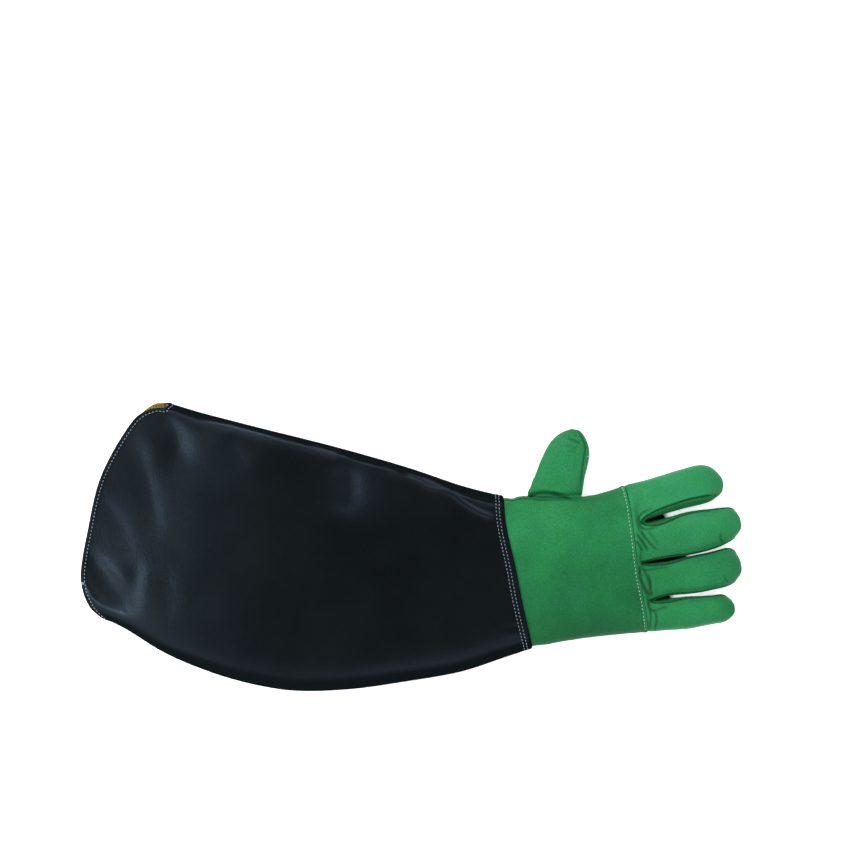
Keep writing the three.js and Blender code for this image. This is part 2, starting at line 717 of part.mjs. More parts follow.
const eyeletProfile = [
  [EYELET.hole, 0.3],
  [EYELET.hole + 0.4, 0],
  [EYELET.flange - 0.3, 0],
  [EYELET.flange, 0.3],
  [EYELET.flange - 0.3, EYELET.flangeThickness],
  [EYELET.barrel, EYELET.flangeThickness],
  [EYELET.barrel, rolledFloor],
  [EYELET.rolled, rolledFloor],
  [EYELET.rolled - 0.2, rolledFloor + EYELET.rolledThickness],
  [EYELET.hole + 0.3, rolledFloor + EYELET.rolledThickness],
  [EYELET.hole, rolledFloor + EYELET.rolledThickness - 0.3],
];
const washerProfile = [
  [EYELET.cut, washerFloor],
  [EYELET.washer, washerFloor],
  [EYELET.washer - 0.3, washerFloor + EYELET.washerThickness],
  [EYELET.cut, washerFloor + EYELET.washerThickness],
];

// Assembly

function material(color, roughness, metalness = 0) {
  return new THREE.MeshStandardMaterial({ color, roughness, metalness });
}

const sleeveMaterial = material(COLOURS.sleeve, 0.45);
const liningMaterial = material(COLOURS.lining, 0.9);
const leatherMaterial = material(COLOURS.leather, 0.6);
const brassMaterial = material(COLOURS.brass, 0.3, 1);

const glove = new THREE.Group();

function addPiece(name, geometry, pieceMaterial) {
  const mesh = new THREE.Mesh(geometry, pieceMaterial);
  mesh.name = name;
  glove.add(mesh);
}

// The sleeve's wall runs the whole length; the lining stops where the leather starts.
const wholeSleeve = { points: sleeve.points, faces: sleeve.faces.map(({ corners }) => ({ piece: 'all', corners })) };
addPiece('sleeve', punched(wallOf(wholeSleeve, sleeveNormals, 'all', SLEEVE_WALL, 0, 0)), sleeveMaterial);
const lining = wallOf(sleeve, sleeveNormals, 'lined', LINING_WALL, SLEEVE_WALL + LAYER_GAP, 0.5);
addPiece('sleeve_lining', punched(lining), liningMaterial);

[
  'hand_back', 'hand_palm', 'finger_backs', 'finger_fronts',
  'fourchette_index_middle', 'fourchette_middle_ring', 'fourchette_ring_little', 'thumb',
].forEach((name) => addPiece(name, wallOf(hand, handNormals, name, LEATHER_WALL), leatherMaterial));

addPiece('eyelet', ringOf(eyeletProfile), brassMaterial);
addPiece('eyelet_washer', ringOf(washerProfile), brassMaterial);

// The origin is under the middle of the glove, on the surface that it lies on.
const box = new THREE.Box3().setFromObject(glove);
const middle = box.getCenter(new THREE.Vector3());
glove.position.set(-middle.x, -middle.y, -box.min.z);

export default glove;
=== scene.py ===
"""The finish of the animal handling glove: coated sleeve, lining, leather hand, brass and thread.

Outlines and tables are in millimetres, in the drawing frame of the glove. The eyelet ties that
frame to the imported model. Every Blender object is in metres. +X runs from the mouth of the sleeve
to the fingertips, the thumb points to +Y, and the back of the hand is up.
"""

import math

import bpy
import numpy as np
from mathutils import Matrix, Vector, noise
from mathutils.bvhtree import BVHTree
from mathutils.kdtree import KDTree


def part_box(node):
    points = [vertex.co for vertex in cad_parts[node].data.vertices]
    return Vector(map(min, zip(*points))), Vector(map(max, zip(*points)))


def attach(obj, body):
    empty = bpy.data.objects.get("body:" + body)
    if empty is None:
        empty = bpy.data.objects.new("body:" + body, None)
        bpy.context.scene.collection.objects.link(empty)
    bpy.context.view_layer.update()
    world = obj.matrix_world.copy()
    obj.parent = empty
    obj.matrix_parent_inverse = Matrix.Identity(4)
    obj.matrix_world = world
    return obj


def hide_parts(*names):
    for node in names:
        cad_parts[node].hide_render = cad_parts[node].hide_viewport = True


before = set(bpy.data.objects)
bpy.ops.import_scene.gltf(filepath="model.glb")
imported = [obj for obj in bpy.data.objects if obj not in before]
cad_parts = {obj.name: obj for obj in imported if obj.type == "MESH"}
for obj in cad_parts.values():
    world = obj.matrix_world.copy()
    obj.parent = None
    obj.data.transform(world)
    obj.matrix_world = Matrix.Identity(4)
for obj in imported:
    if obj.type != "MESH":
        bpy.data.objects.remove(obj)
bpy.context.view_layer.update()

# Driving dimensions

MM = 0.001
SLEEVE_WALL = 1.3
LINING_WALL = 1.0
LEATHER_WALL = 1.4
LAYER_GAP = 0.3
SEAM_GAP = 0.3
CUFF_LAP = 0.035
LINING_END = 0.05
LINING_SETBACK = 0.5

FINGERS_ACROSS = 4
COLUMNS_PER_FINGER = 5
COLUMNS = FINGERS_ACROSS * COLUMNS_PER_FINGER

# Plan outlines as (x, y) points: the edges and the seam run from the index side to the little
# finger's side, and the sides run towards the fingers.

MOUTH_EDGE = [
    (-222, 143.3), (-234.8, 142), (-249.3, 131), (-263.9, 111), (-278.5, 84.6), (-285.7, 65.5),
    (-293, 32.8), (-300.3, -18), (-293, -41.9), (-285.7, -50.1), (-277.6, -54.6),
]
CUFF_EDGE = [(83.4, 58.2), (85.2, 34), (94.5, -8.7), (99.5, -35), (109.9, -80.1)]
STRAIGHT_SIDE = [
    (-222, 143.3), (-183.8, 132), (-125.6, 117.4), (-65.5, 101.9), (-10.9, 86.5), (43.7, 68.3),
    (83.4, 58.2),
]
CURVED_SIDE = [
    (-277.6, -54.6), (-256.6, -64.6), (-227.5, -82.8), (-198.4, -96.5), (-140.1, -113.8),
    (-96.5, -119.2), (-29.1, -113.8), (43.7, -101.9), (83, -89.5), (109.9, -80.1),
]
KNUCKLE_SEAM = [
    (193.2, 68), (197, 53), (201.4, 22.1), (206, -14.5), (210.8, -38.9), (214.8, -65.2),
]
INDEX_SIDE = [(83.4, 57), (105, 57.3), (130, 57.4), (154, 58.2), (175, 61.8), (193.2, 68)]
LITTLE_SIDE = [(109.9, -78.8), (141, -73.8), (172.8, -69.3), (214.8, -65.2)]

# Sleeve sections: shares of the length and the heights there, then the forms of both sides' edges

SLEEVE_HEIGHTS = (
    (0, 0.12, 0.25, 0.4, 0.55, 0.75, 0.93, 1),
    (26.5, 31.5, 36, 38, 37.5, 33, 28, 26),
)
# Shares of the length over which the changes of slope are evened out
HEIGHT_WINDOW = np.linspace(-0.07, 0.07, 9)
EDGE_SHARE = 0.42
STRAIGHT_ROUNDNESS = 14
CURVED_ROUNDNESS = 4
STRAIGHT_FLAT = 0.9
CURVED_FLAT = 0.8
# The under layer rises a little towards the mouth, between these two shares of the length.
MOUTH_LIFT = 1
LIFT_FROM = 0.35
LIFT_FULL = 0.25
# The top layer's edge lies farther in at the mouth, beside the straight corner.
CORNER_SETBACK = {"depth": 5, "span": 0.15, "reach": 0.03, "peak": 0.286, "way": (0.6, -0.8)}

# Distances between the sleeve's rows of points, and how many close rows its ends have
ROW_STEPS = {"close": 0.75, "wide": 1.85, "hem": 14, "cuff": 20}
FINE_PER_COLUMN = 7

# Folds of the sleeve's top layer: the cloth dips gently up to each line and steps up steeply past it.
# Each line runs down the glove, and its high side is the one towards the fingers. Then follow the
# depth, and the widths of the steep and of the gentle side.
FOLDS = [
    ([(-224, 148), (-214, 129), (-206.5, 115), (-204, 99), (-201, 78)], 2.3, 11.5, 14),
    ([(-249, 124), (-238.4, 86.5), (-232.7, 63.7), (-229.3, 45.5), (-223, 8)], 0.6, 7, 16),
    ([(-285, 70), (-268, 45.5), (-260, 34.1), (-254.3, 20.5), (-249.5, -10)], 0.4, 6.5, 12),
    ([(-300, 18), (-279.4, -2.3), (-270.3, -13.7), (-262.3, -25), (-250, -54)], 1.9, 7.5, 13),
    ([(-243, 8), (-245.8, -20), (-254, -60)], 1.0, 7, 10),
    ([(-219, 0), (-214, -30), (-217, -62)], 0.5, 9, 16),
    ([(-164, 118), (-153, 100), (-148, 80)], 0.9, 10, 14),
    ([(-56, 98), (-48, 70), (-52, 34)], 3.3, 14, 22),
]
# How many gentle widths a fold reaches, and how many steep widths its lowest line lies before it
FOLD_FORM = {"reach": 2.6, "shift": 0.7}
# Broad unevenness of the cloth: height, scale and seed. It fades in between two heights.
SLEEVE_UNEVEN = [(0.7, 55, 1), (0.2, 24, 2)]
DRAPE_HEIGHTS = (2, 9)

# Narrow soft ridges, most of them beside the straight side, where the cloth turns over: line, width
# and rise
RIDGES = [
    ([(-196, 129), (-162, 121.9), (-138.3, 115.6), (-111, 107.4), (-74.6, 99.6), (-56.4, 91.9),
      (-38.2, 86.5), (-20, 82.8), (-2, 79)], 2.1, 1.1),
    ([(-12, 83), (7.3, 76), (21.8, 70), (34.6, 64), (52.8, 55.6), (80, 47.5)], 2.1, 1.3),
    ([(-10, 78), (5.5, 71.9), (16.4, 66.4), (27.3, 63.7), (36.4, 60.1), (43.7, 54.6), (63.7, 42.8),
      (80, 37.5)], 2.6, 1.4),
    ([(-297, -20), (-290, -33), (-283.9, -38.7), (-272.5, -44.5), (-254, -50)], 2, 1),
]
# Reach of a ridge, and reach and width of its shine, in its own widths, and how its ends fade
RIDGE_FORM = {"reach": 3, "fade": 0.15, "shine_reach": 5, "shine_width": 1.5}

# Share of the full shine on the flat cloth, and how far up a face has to look for its shine to set in
# and to be full, on the cloth and on its ridges
GLOSS = {"flat": 0.34, "facing": (0.875, 0.955), "ridge_facing": (0.74, 0.87)}
# Places where the cloth shines more: x, y, reach and shine
WORN_PATCHES = [
    (-50, 66, 26, 0.85), (-184, 100, 36, 0.22), (-203, 38, 34, 0.1), (-250, 112, 26, 0.18),
    (-232, 128, 15, 0.55),
]

# The sleeve's turned edges: distances to the stitches and to the end of the band, how high and how
# soon it stands up, and depth and width of its rounded edge and of the grooves under the stitches.
# Within the hem's reach, the distance from the mouth is measured straight across.
HEM = {
    "rows": (3.5,), "band": 5.2, "rise": 0.5, "start": 1.2, "round": (0.5, 0.8),
    "groove": (0.45, 0.8), "reach": 30,
}
CUFF = {
    "rows": (4.8, 7.7), "band": 9.6, "rise": 0.45, "start": 1.4, "round": (0.6, 0.9),
    "groove": (0.4, 0.75),
}
# Where the hem's stitches turn farther in, beside the straight corner: x, y and reach, how far in,
# and the heights between which this sets in, so that the under layer is left out
HEM_KINK = {"place": (-223, 135, 4.5), "in": 2.6, "heights": (8, 14)}
# The cloth puckers beside the cuff.
PUCKER = {"stretch": (0.5, 1.6, 1), "scale": 9, "seed": 3, "depth": 0.35, "at": 12, "reach": 9}

# Hand sections: shares of the length where the rows lie, and the heights as for the sleeve

HAND_ROWS = (0.108, 0.207, 0.319, 0.431, 0.543, 0.655, 0.825, 1)
HAND_HEIGHTS = ((0, 0.3, 0.7, 1), (24.5, 26.5, 28, 27))
HAND_EDGE_HEIGHT = 12
HAND_ROUNDNESS = 5
HAND_FLAT = 0.8
KNUCKLE_VALLEY = 0.8
# The palm's leather wraps over the index side, up to this position across and to this row.
SIDE_WRAP = {"position": 0.957, "last_row": 6}
# The palm's hole for the thumb
THUMB_HOLE = {"rows": (3, 7), "columns": 3}

# Each finger's sections: distance along it, half widths to its upper and its lower side in plan, and
# how far round, in degrees, the fourchettes reach on the back from those sides
FINGERS = [
    {"root": (196.6, 51), "heading": 11.5, "sections": [
        (22, 18.3, 16.4, 0, 48), (38, 19.6, 14.8, 0, 54), (54, 21.2, 14, 0, 58),
        (68, 22, 13.6, 0, 56), (78, 19.2, 11, 0, 48), (85, 12.4, 7.5, 0, 28), (88.7, 6, 2.5, 0, 0),
    ]},
    {"root": (202.9, 16.4), "heading": 9.9, "sections": [
        (24, 16.3, 19.3, 44, 26), (42, 17.8, 19.5, 26, 18), (58, 18.4, 19.1, 18, 14),
        (74, 17.2, 17.2, 14, 12), (86, 16.5, 14, 12, 10), (94, 13.9, 8.9, 8, 8), (98.3, 6, 4, 0, 0),
    ]},
    {"root": (208.4, -19.1), "heading": 7.9, "sections": [
        (20, 15.2, 16.6, 38, 24), (38, 15.5, 16.7, 24, 16), (54, 16.4, 16.9, 16, 12),
        (70, 17.4, 15.7, 12, 12), (81, 18.9, 13.7, 10, 10), (88.5, 15.2, 9, 8, 8),
        (92.6, 6.4, 4.2, 0, 0),
    ]},
    {"root": (212, -51), "heading": 4.7, "sections": [
        (22, 14.7, 14.5, 42, 0), (36, 14.4, 14.7, 24, 0), (50, 13.5, 13.2, 16, 0),
        (62, 13.4, 12, 12, 0), (71, 13.5, 11.4, 10, 0), (78, 9.9, 8, 8, 0), (82.2, 4.2, 4, 0, 0),
    ]},
]
# Top and under side of those sections, and how far round the fourchettes reach under them
FINGER_HEIGHTS = [(24.5, 0), (24, 0), (23.5, 0), (22.5, 0), (20, 0.8), (15.5, 3.4), (9.5, 9.5)]
FOURCHETTE_FRONTS = (34, 34, 34, 30, 22, 12, 0)
# Each web's end, how far back its seam starts on the back of the hand, and how far ahead of it the
# floor lies in shadow
WEBS = {
    "index_middle": {"x": 212, "y": 35.1, "back": 4.2, "shadow": 20},
    "middle_ring": {"x": 210.3, "y": -2.3, "back": 2.2, "shadow": 41},
    "ring_little": {"x": 221.4, "y": -36.4, "back": 4.8, "shadow": 15},
}
WEB_SEAM = {"back_height": 20, "height": 11, "front": 5, "front_height": 3.5}
# Rows between the knuckle seam and a finger's first section
YOKE_ROWS = 2
SECTION_POWER = 0.82
UNDERSIDE_FULLNESS = 1.3
# The fingers' ends arch out, and the leather is rounded off within a distance of the tips.
TIP_ARCH = {"out": 1.8, "level": 0.45}
TIP_SOFTNESS = {"fade": (8, 20), "rounds": 24}
SUBDIVISIONS = 3
# The smoothed skin is brought back through its own points in a few rounds.
FIT = {"rounds": 3, "share": 0.9}

# The thumb's sections: distance along it, half widths to both sides, top and under side
THUMB = {"root": (130.1, 45.5), "heading": 76.8, "sections": [
    (19, 25.4, 21.2, 15.2, 0), (24, 24.9, 20.8, 17.4, 0), (30, 24.3, 20.4, 18.8, 0),
    (38, 23.3, 19.8, 19.8, 0), (50, 21.3, 19.7, 20.3, 0), (60, 18, 17.8, 19.3, 0.5),
    (68, 12.5, 13.6, 16.3, 2.4), (73, 6.5, 9.2, 12.6, 5.4), (75.7, 2, 5, 9, 9),
]}
THUMB_CORNER_ANGLE = 25

EYELET = {
    "x": -223.7, "y": 118.9, "hole": 3.65, "barrel": 4.1, "cut": 4.4, "flange": 7.4,
    "flange_thickness": 0.7, "flange_edge": 0.4, "washer": 7, "washer_thickness": 0.7,
    "rolled": 5.6, "rolled_thickness": 0.6, "rolled_edge": 0.1, "sides": 64,
}
# The hole cut for the eyelet: its play, and the height that its layer lies below
PUNCH = {"play": 0.2, "below": 8}

# Seams of the leather, each a groove with a soft roll on both sides: depth and width of the groove,
# height, distance and width of the rolls, and how dark the painted shade in its groove is
SEAMS = {
    "fourchette": (0.9, 1.0, 0.45, 2.6, 1.5, 0.7),
    "side": (0.6, 1.0, 0.25, 2.4, 1.5, 0.55),
    "thumb_base": (0.9, 1.5, 0.3, 3.4, 2.0, 0.6),
    "knuckle": (0, 1, 0, 1, 1, 0.06),
}
# Width of the painted shade along the seams
SEAM_SHADE_WIDTH = 1.1
# Seams fade out where a distance is added to theirs: along x on the upper side of the hand, before
# the finger sections and above a height, and towards the fingertips.
SEAM_FADES = {"side": (120, 134), "thumb_base": (128, 138)}
FADE_AREA = {"before": 160, "above": 8}
TIP_SEAM_FADE = (8, 18)
FADE_DISTANCE = 9
# The hand's leather laps over the fingers' leather: it stands up, and theirs starts lower. Its raw
# edge is lighter, partly its own colour and partly a painted highlight on its rolled top. It is sewn
# between two shares of the seam, read at a number of points.
KNUCKLE_LAP = {
    "rise": 0.5, "band": 5.5, "drop": 0.6, "reach": 2.4, "stitch": 2.6, "round": (0.35, 0.9),
    "groove": (0.3, 0.8), "sewn": (0.012, 0.988, 120),
}
# How much lighter the raw edge is painted, with its painted highlight, and how wide
RAW_EDGE_AND_HIGHLIGHT = {"light": 0.8, "width": 0.6}

# Creases of the leather on the back of the glove: line, width and depth
CREASES = [
    ([(203.2, 26), (207.5, 19.7), (210.8, 15.2), (214.8, 7)], 1.3, 1.0),
    ([(207.2, 28), (211.7, 21.2), (216.6, 15.2), (223, 7.5)], 1.5, 0.9),
    ([(202.6, 18.5), (206.7, 13.7), (209.6, 7.5)], 1.2, 0.9),
    ([(214, 27.5), (221.1, 18.2), (224.5, 11.5)], 2, 0.5),
    ([(280, 25), (280.3, 19.7), (283, 14.5)], 1.3, 0.9),
    ([(207.5, -1), (207.5, -14.4), (211.3, -25), (218.5, -35)], 1.6, 1.5),
    ([(214, -11), (216.6, -21.2), (216.9, -27.3), (219, -35)], 1.5, 1.2),
    ([(282.6, -12), (284.1, -15.9), (287, -20)], 1.3, 0.7),
    ([(290, -16.5), (293.8, -21)], 1.2, 0.5),
    ([(219.4, -44), (222.3, -50.8), (222.6, -56.1), (219.5, -65)], 1.3, 0.8),
    ([(215.8, -40.5), (217, -50.1), (216.3, -57.6), (216.7, -65)], 1.3, 0.8),
    ([(140.5, 111.5), (146.5, 109), (153.5, 106)], 1.4, 0.7),
    ([(139, 104.5), (145, 102.5), (151, 101.5)], 2.2, 0.35),
    ([(140.5, 99), (150, 98)], 2, 0.3),
    ([(221, 47), (210.8, 43.7), (206.8, 39.4), (206.2, 34.9), (209, 29.8), (214, 28.6), (227, 32)],
     1.1, 0.8),
    ([(205.5, -7.5), (212, -8.6), (218.1, -8.2), (224.2, -6.8), (236, -5)], 1.1, 0.7),
    ([(217, -34), (214.8, -39), (216.4, -43.7), (221.1, -45.3), (226.5, -43.4), (235, -41)],
     1.1, 0.9),
    ([(103, 57.3), (107.4, 58.6), (115, 60.4), (124, 60.7), (131.6, 59.2), (139, 57.6)], 1.8, 2),
    ([(126, 62), (133, 59.5), (138, 57.8), (145, 56.2)], 1.5, 0.9),
]
# Reach, rolls and painted shade of a crease in its own widths, how its ends fade, and how far up a
# face has to look to have creases
CREASE_FORM = {
    "reach": 6, "fade": 0.2, "roll": 0.4, "roll_at": 2, "dark": 0.75, "dark_width": 0.8,
    "facing": (0.1, 0.5),
}
# The thumb's seam comes round its tip and down inside its edge.
THUMB_SEAM = (
    [(146, 119), (149.4, 117.8), (152.9, 114), (156.2, 107.1), (157.6, 102.5), (156.7, 94.9),
     (155.3, 83.9), (154, 72), (153, 62)], 1.0, 0.8,
)

# The palm's leather ruffles where it wraps over the index side: x, width and how far out. Beside the
# heel of the thumb, a place with x, y and reach, it is drawn in.
RUFFLES = [(91.5, 3.2, -1.1), (103, 10, 1.9)]
RUFFLE_REACH = 8
RUFFLE_HEIGHTS = (4, 9)
THUMB_HEEL = {"place": (109, 62, 8), "out": -2.4}

# Small unevenness of the leather: height, scale and seed. It fades in between two heights.
HAND_UNEVEN = [(0.45, 26, 5), (0.16, 9, 6)]
UNEVEN_HEIGHTS = (1, 4)

# How light each piece of leather is, around zero, and how much it darkens from one y to another.
# The fourchettes between the middle, ring and little fingers are darker as painted shade in the gaps.
TONES_AND_PAINTED_SHADE = {
    "hand_back": 0.02, "hand_palm": 0, "finger_backs": 0.22, "finger_fronts": 0.05,
    "fourchette_index_middle": -0.05, "fourchette_middle_ring": -0.25,
    "fourchette_ring_little": -0.2, "thumb": 0.1,
}
TONE_FALLS = {"hand_back": (45, -70, 0.34), "finger_backs": (40, -10, 0.16)}
PIECES = list(TONES_AND_PAINTED_SHADE)
SEAM_KINDS = [None, *SEAMS]

STITCH = {
    "pitch": 3.3, "length": 2.3, "radius": 0.33, "rings": 5, "sides": 6, "rise": 0.65, "dip": 1.5,
    "ahead": 0.4,
}
# Painted shade along the sleeve's rows of stitches: how dark and how wide
STITCH_SHADE = {"dark": 0.8, "width": 0.7}
THUMB_STITCH = {"x": 160, "y": 94.3, "length": 5, "radius": 0.5, "slope": -0.35, "above": 0.2}
# The knot lies on the sleeve's top layer, so points below a height count as farther away.
KNOT = {
    "x": -298, "y": -20, "from_height": 12, "far": 9, "length": 3.2, "radius": 0.4, "spread": 0.5,
    "turns": (20, 80, 130, 165),
}
RAY_START = 60

# The photograph's frame: width in pixels, millimetres a pixel, and the pixel of the drawing's origin
PHOTO_PIXELS = 844
PIXEL_SIZE = 0.91
PHOTO_ORIGIN = (412, 560)
CAMERA_HEIGHT = 3700
OUTLINE_HEIGHT = 12

# Soft lights stand round the glove, and nothing bright hangs straight above it: azimuth and power of
# each. A smaller one lights the mouth.
LIGHT_RING = {"elevation": 40, "distance": 2.4, "size": 1.2}
LIGHTS = {
    "key": (105, 29), "left": (165, 12.5), "lower_left": (230, 14.5), "lower_right": (290, 15),
    "right": (350, 15), "upper_right": (45, 12.5),
}
MOUTH_LIGHT = {"place": (-0.8, -0.08, 0.85), "aim": (-0.22, 0, 0.03), "size": 0.3, "power": 7}
WORLD_STRENGTH = 0.04
# The floor glows a little, so that the soft shadows round the glove stay white. Between the roots of
# the fingers it is black, as deep shadow.
FLOOR = {
    "white": (0.9, 0.9, 0.9, 1), "shadow": (0.01, 0.01, 0.015, 1), "glow": 0.65, "edge": (-1, 4),
    "half_size": 6, "below": 0.0002,
}


# Small helpers

def smoothstep(start, end, value):
    share = np.clip((value - start) / (end - start), 0, 1)
    return share * share * (3 - 2 * share)


def bell(distance, width):
    return np.exp(-((distance / width) ** 2))


def unit(vectors):
    length = np.linalg.norm(vectors, axis=-1, keepdims=True)
    return vectors / np.maximum(length, 1e-9)


def plan_distance(points, x, y):
    return np.hypot(points[..., 0] - x, points[..., 1] - y)


def near_place(points, x, y, reach):
    """How near points are to a place in plan: 1 there, fading within about twice the reach."""
    return bell(plan_distance(points, x, y), reach)


class PlanCurve:
    """A smooth line through its points, read by shares of its length."""

    def __init__(self, points, steps=2001):
        inner = np.array(points, float)
        p = np.array([2 * inner[0] - inner[1], *inner, 2 * inner[-1] - inner[-2]])
        t = np.linspace(0, len(inner) - 1, steps)
        i = np.minimum(t.astype(int), len(inner) - 2)
        w = (t - i)[:, None]
        p0, p1, p2, p3 = (p[i + k] for k in range(4))
        d0, d1, d2 = (np.linalg.norm(b - a, axis=1)[:, None] ** 0.5
                      for a, b in ((p0, p1), (p1, p2), (p2, p3)))
        out = ((p1 - p0) / d0 - (p2 - p0) / (d0 + d1) + (p2 - p1) / d1) * d1
        into = ((p2 - p1) / d1 - (p3 - p1) / (d1 + d2) + (p3 - p2) / d2) * d1
        self.points = (p1 + out * w + (-3 * p1 + 3 * p2 - 2 * out - into) * w ** 2
                       + (2 * p1 - 2 * p2 + out + into) * w ** 3)
        run = np.cumsum(np.linalg.norm(np.diff(self.points, axis=0), axis=1))
        self.length = run[-1]
        self.shares = np.concatenate([[0], run]) / self.length

    def at(self, share):
        return np.stack([np.interp(share, self.shares, self.points[:, k]) for k in (0, 1)], -1)


def coons_patch(*outlines):
    """A plan patch between outlines at its start, its end and two sides: shares u along, w across."""
    start, end, side_a, side_b = (PlanCurve(outline) for outline in outlines)

    def point(u, w):
        u, w = np.broadcast_arrays(np.asarray(u, float), np.asarray(w, float))
        eu, ew = u[..., None], w[..., None]
        sides = (1 - ew) * side_a.at(u) + ew * side_b.at(u)
        ends = (1 - eu) * start.at(w) + eu * end.at(w)
        corners = ((1 - eu) * ((1 - ew) * start.at(0) + ew * start.at(1))
                   + eu * ((1 - ew) * end.at(0) + ew * end.at(1)))
        return sides + ends - corners
    return point


def near_line(xy, line, reach, fade=0.3, steps=64):
    """Signed distance to a smooth line, positive on its left, and a strength that fades at its ends.

    Points farther away than the reach get the strength zero.
    """
    curve = PlanCurve(line, 400).at(np.linspace(0, 1, steps + 1))
    tangents = unit(np.gradient(curve, axis=0))
    flat = xy.reshape(-1, 2)
    low, high = curve.min(axis=0) - reach, curve.max(axis=0) + reach
    close = np.flatnonzero(((flat > low) & (flat < high)).all(axis=1))
    points = flat[close]
    nearest = ((points[:, None] - curve) ** 2).sum(axis=-1).argmin(axis=1)
    away = points - curve[nearest]
    tangent = tangents[nearest]
    forward = (away * tangent).sum(axis=1)
    step = np.linalg.norm(curve[1] - curve[0])
    foot = np.clip(forward, -step / 2, step / 2)
    side = tangent[:, 0] * away[:, 1] - tangent[:, 1] * away[:, 0]
    size = np.hypot(side, forward - foot)
    share = (nearest + foot / step) / steps
    distance = np.full(len(flat), reach, float)
    strength = np.zeros(len(flat))
    distance[close] = np.copysign(size, side)
    strength[close] = smoothstep(0, fade, share) * smoothstep(1, 1 - fade, share) * (size < reach)
    return distance.reshape(xy.shape[:-1]), strength.reshape(xy.shape[:-1])


def distance_to_edges(starts, ends, points):
    """Each point's distance to the nearest of many short edges."""
    samples = np.concatenate([starts + (ends - starts) * share for share in (0, 0.25, 0.5, 0.75, 1)])
    tree = KDTree(len(samples))
    for i, sample in enumerate(samples.tolist()):
        tree.insert(sample, i)
    tree.balance()
    return np.array([tree.find(point)[2] for point in points.tolist()])


def noise_field(points, scale, seed):
    """Smooth noise between about -1 and 1, with features of the size of scale."""
    shift = Vector((seed * 17.3, seed * 5.1, seed * 11.7))
    flat = points.reshape(-1, 3) / scale
    values = np.array([noise.noise(Vector(p) + shift) for p in flat.tolist()])
    return values.reshape(points.shape[:-1])


def uneven(points, layers):
    return sum(height * noise_field(points, scale, seed) for height, scale, seed in layers)


def column_position(column):
    """Position across the glove: +1 at the index side, -1 at the little finger's side."""
    column = np.asarray(column, float)
    half = COLUMNS / 2
    j = np.where(column > half, COLUMNS - column, column)
    outer = 0.5 + 0.5 * np.cos(math.pi / 2 * np.minimum(1, j / COLUMNS_PER_FINGER))
    inner = 0.5 * (half - j) / (half - COLUMNS_PER_FINGER)
    position = np.where(j <= COLUMNS_PER_FINGER, outer, inner)
    return np.where(column > half, -position, position)


def section_height(t, top, edge, roundness, flat_to, upper):
    """Height of a section at position t across it."""
    k = np.abs(t)
    if upper:
        return edge + (top - edge) * np.sqrt(np.maximum(0, 1 - k ** roundness))
    turn = np.maximum(0, (k - flat_to) / (1 - flat_to))
    return edge * (1 - np.sqrt(np.maximum(0, 1 - turn * turn)))


# Meshes

def quad_normals(points, quads):
    """A unit normal at each point of a mesh of quads. Points may lie in a grid of rows."""
    flat = points.reshape(-1, 3)
    a, b, c, d = (flat[quads[:, k]] for k in range(4))
    cross = np.cross(c - a, d - b)
    normals = np.zeros_like(flat)
    for k in range(4):
        np.add.at(normals, quads[:, k], cross)
    return unit(normals).reshape(points.shape)


def grid_quads(rows, ring):
    """Quads of an open tube of rings, facing out."""
    r, j = np.meshgrid(np.arange(rows - 1), np.arange(ring), indexing="ij")
    a = r * ring + j
    b = r * ring + (j + 1) % ring
    return np.stack([a, b, b + ring, a + ring], -1).reshape(-1, 4)


def turned_over(quads):
    """The same quads, facing the other way."""
    return quads[:, [0, 3, 2, 1]]


def in_scene(name, data):
    made = bpy.data.objects.new(name, data)
    bpy.context.scene.collection.objects.link(made)
    return made


# The drawing frame lies in the model's frame where the eyelet is.
eyelet_low, eyelet_high = (np.array(corner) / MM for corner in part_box("eyelet"))
OFFSET = (eyelet_low + eyelet_high) / 2 - (EYELET["x"], EYELET["y"], 0)
OFFSET[2] = 0


def add_piece(name, points, faces, material, replaces=(), fields=()):
    """A finished mesh, from points in the drawing frame. Its fields steer its material."""
    mesh = bpy.data.meshes.new(name)
    mesh.from_pydata(((points + OFFSET) * MM).tolist(), [], faces)
    mesh.polygons.foreach_set("use_smooth", np.ones(len(mesh.polygons), bool))
    for field, values in dict(fields).items():
        attribute = mesh.attributes.new(field, "FLOAT", "POINT")
        attribute.data.foreach_set("value", values.astype(np.float32))
    mesh.materials.append(material)
    piece = in_scene(name, mesh)
    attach(piece, "root")
    if replaces:
        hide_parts(*replaces)


# Materials

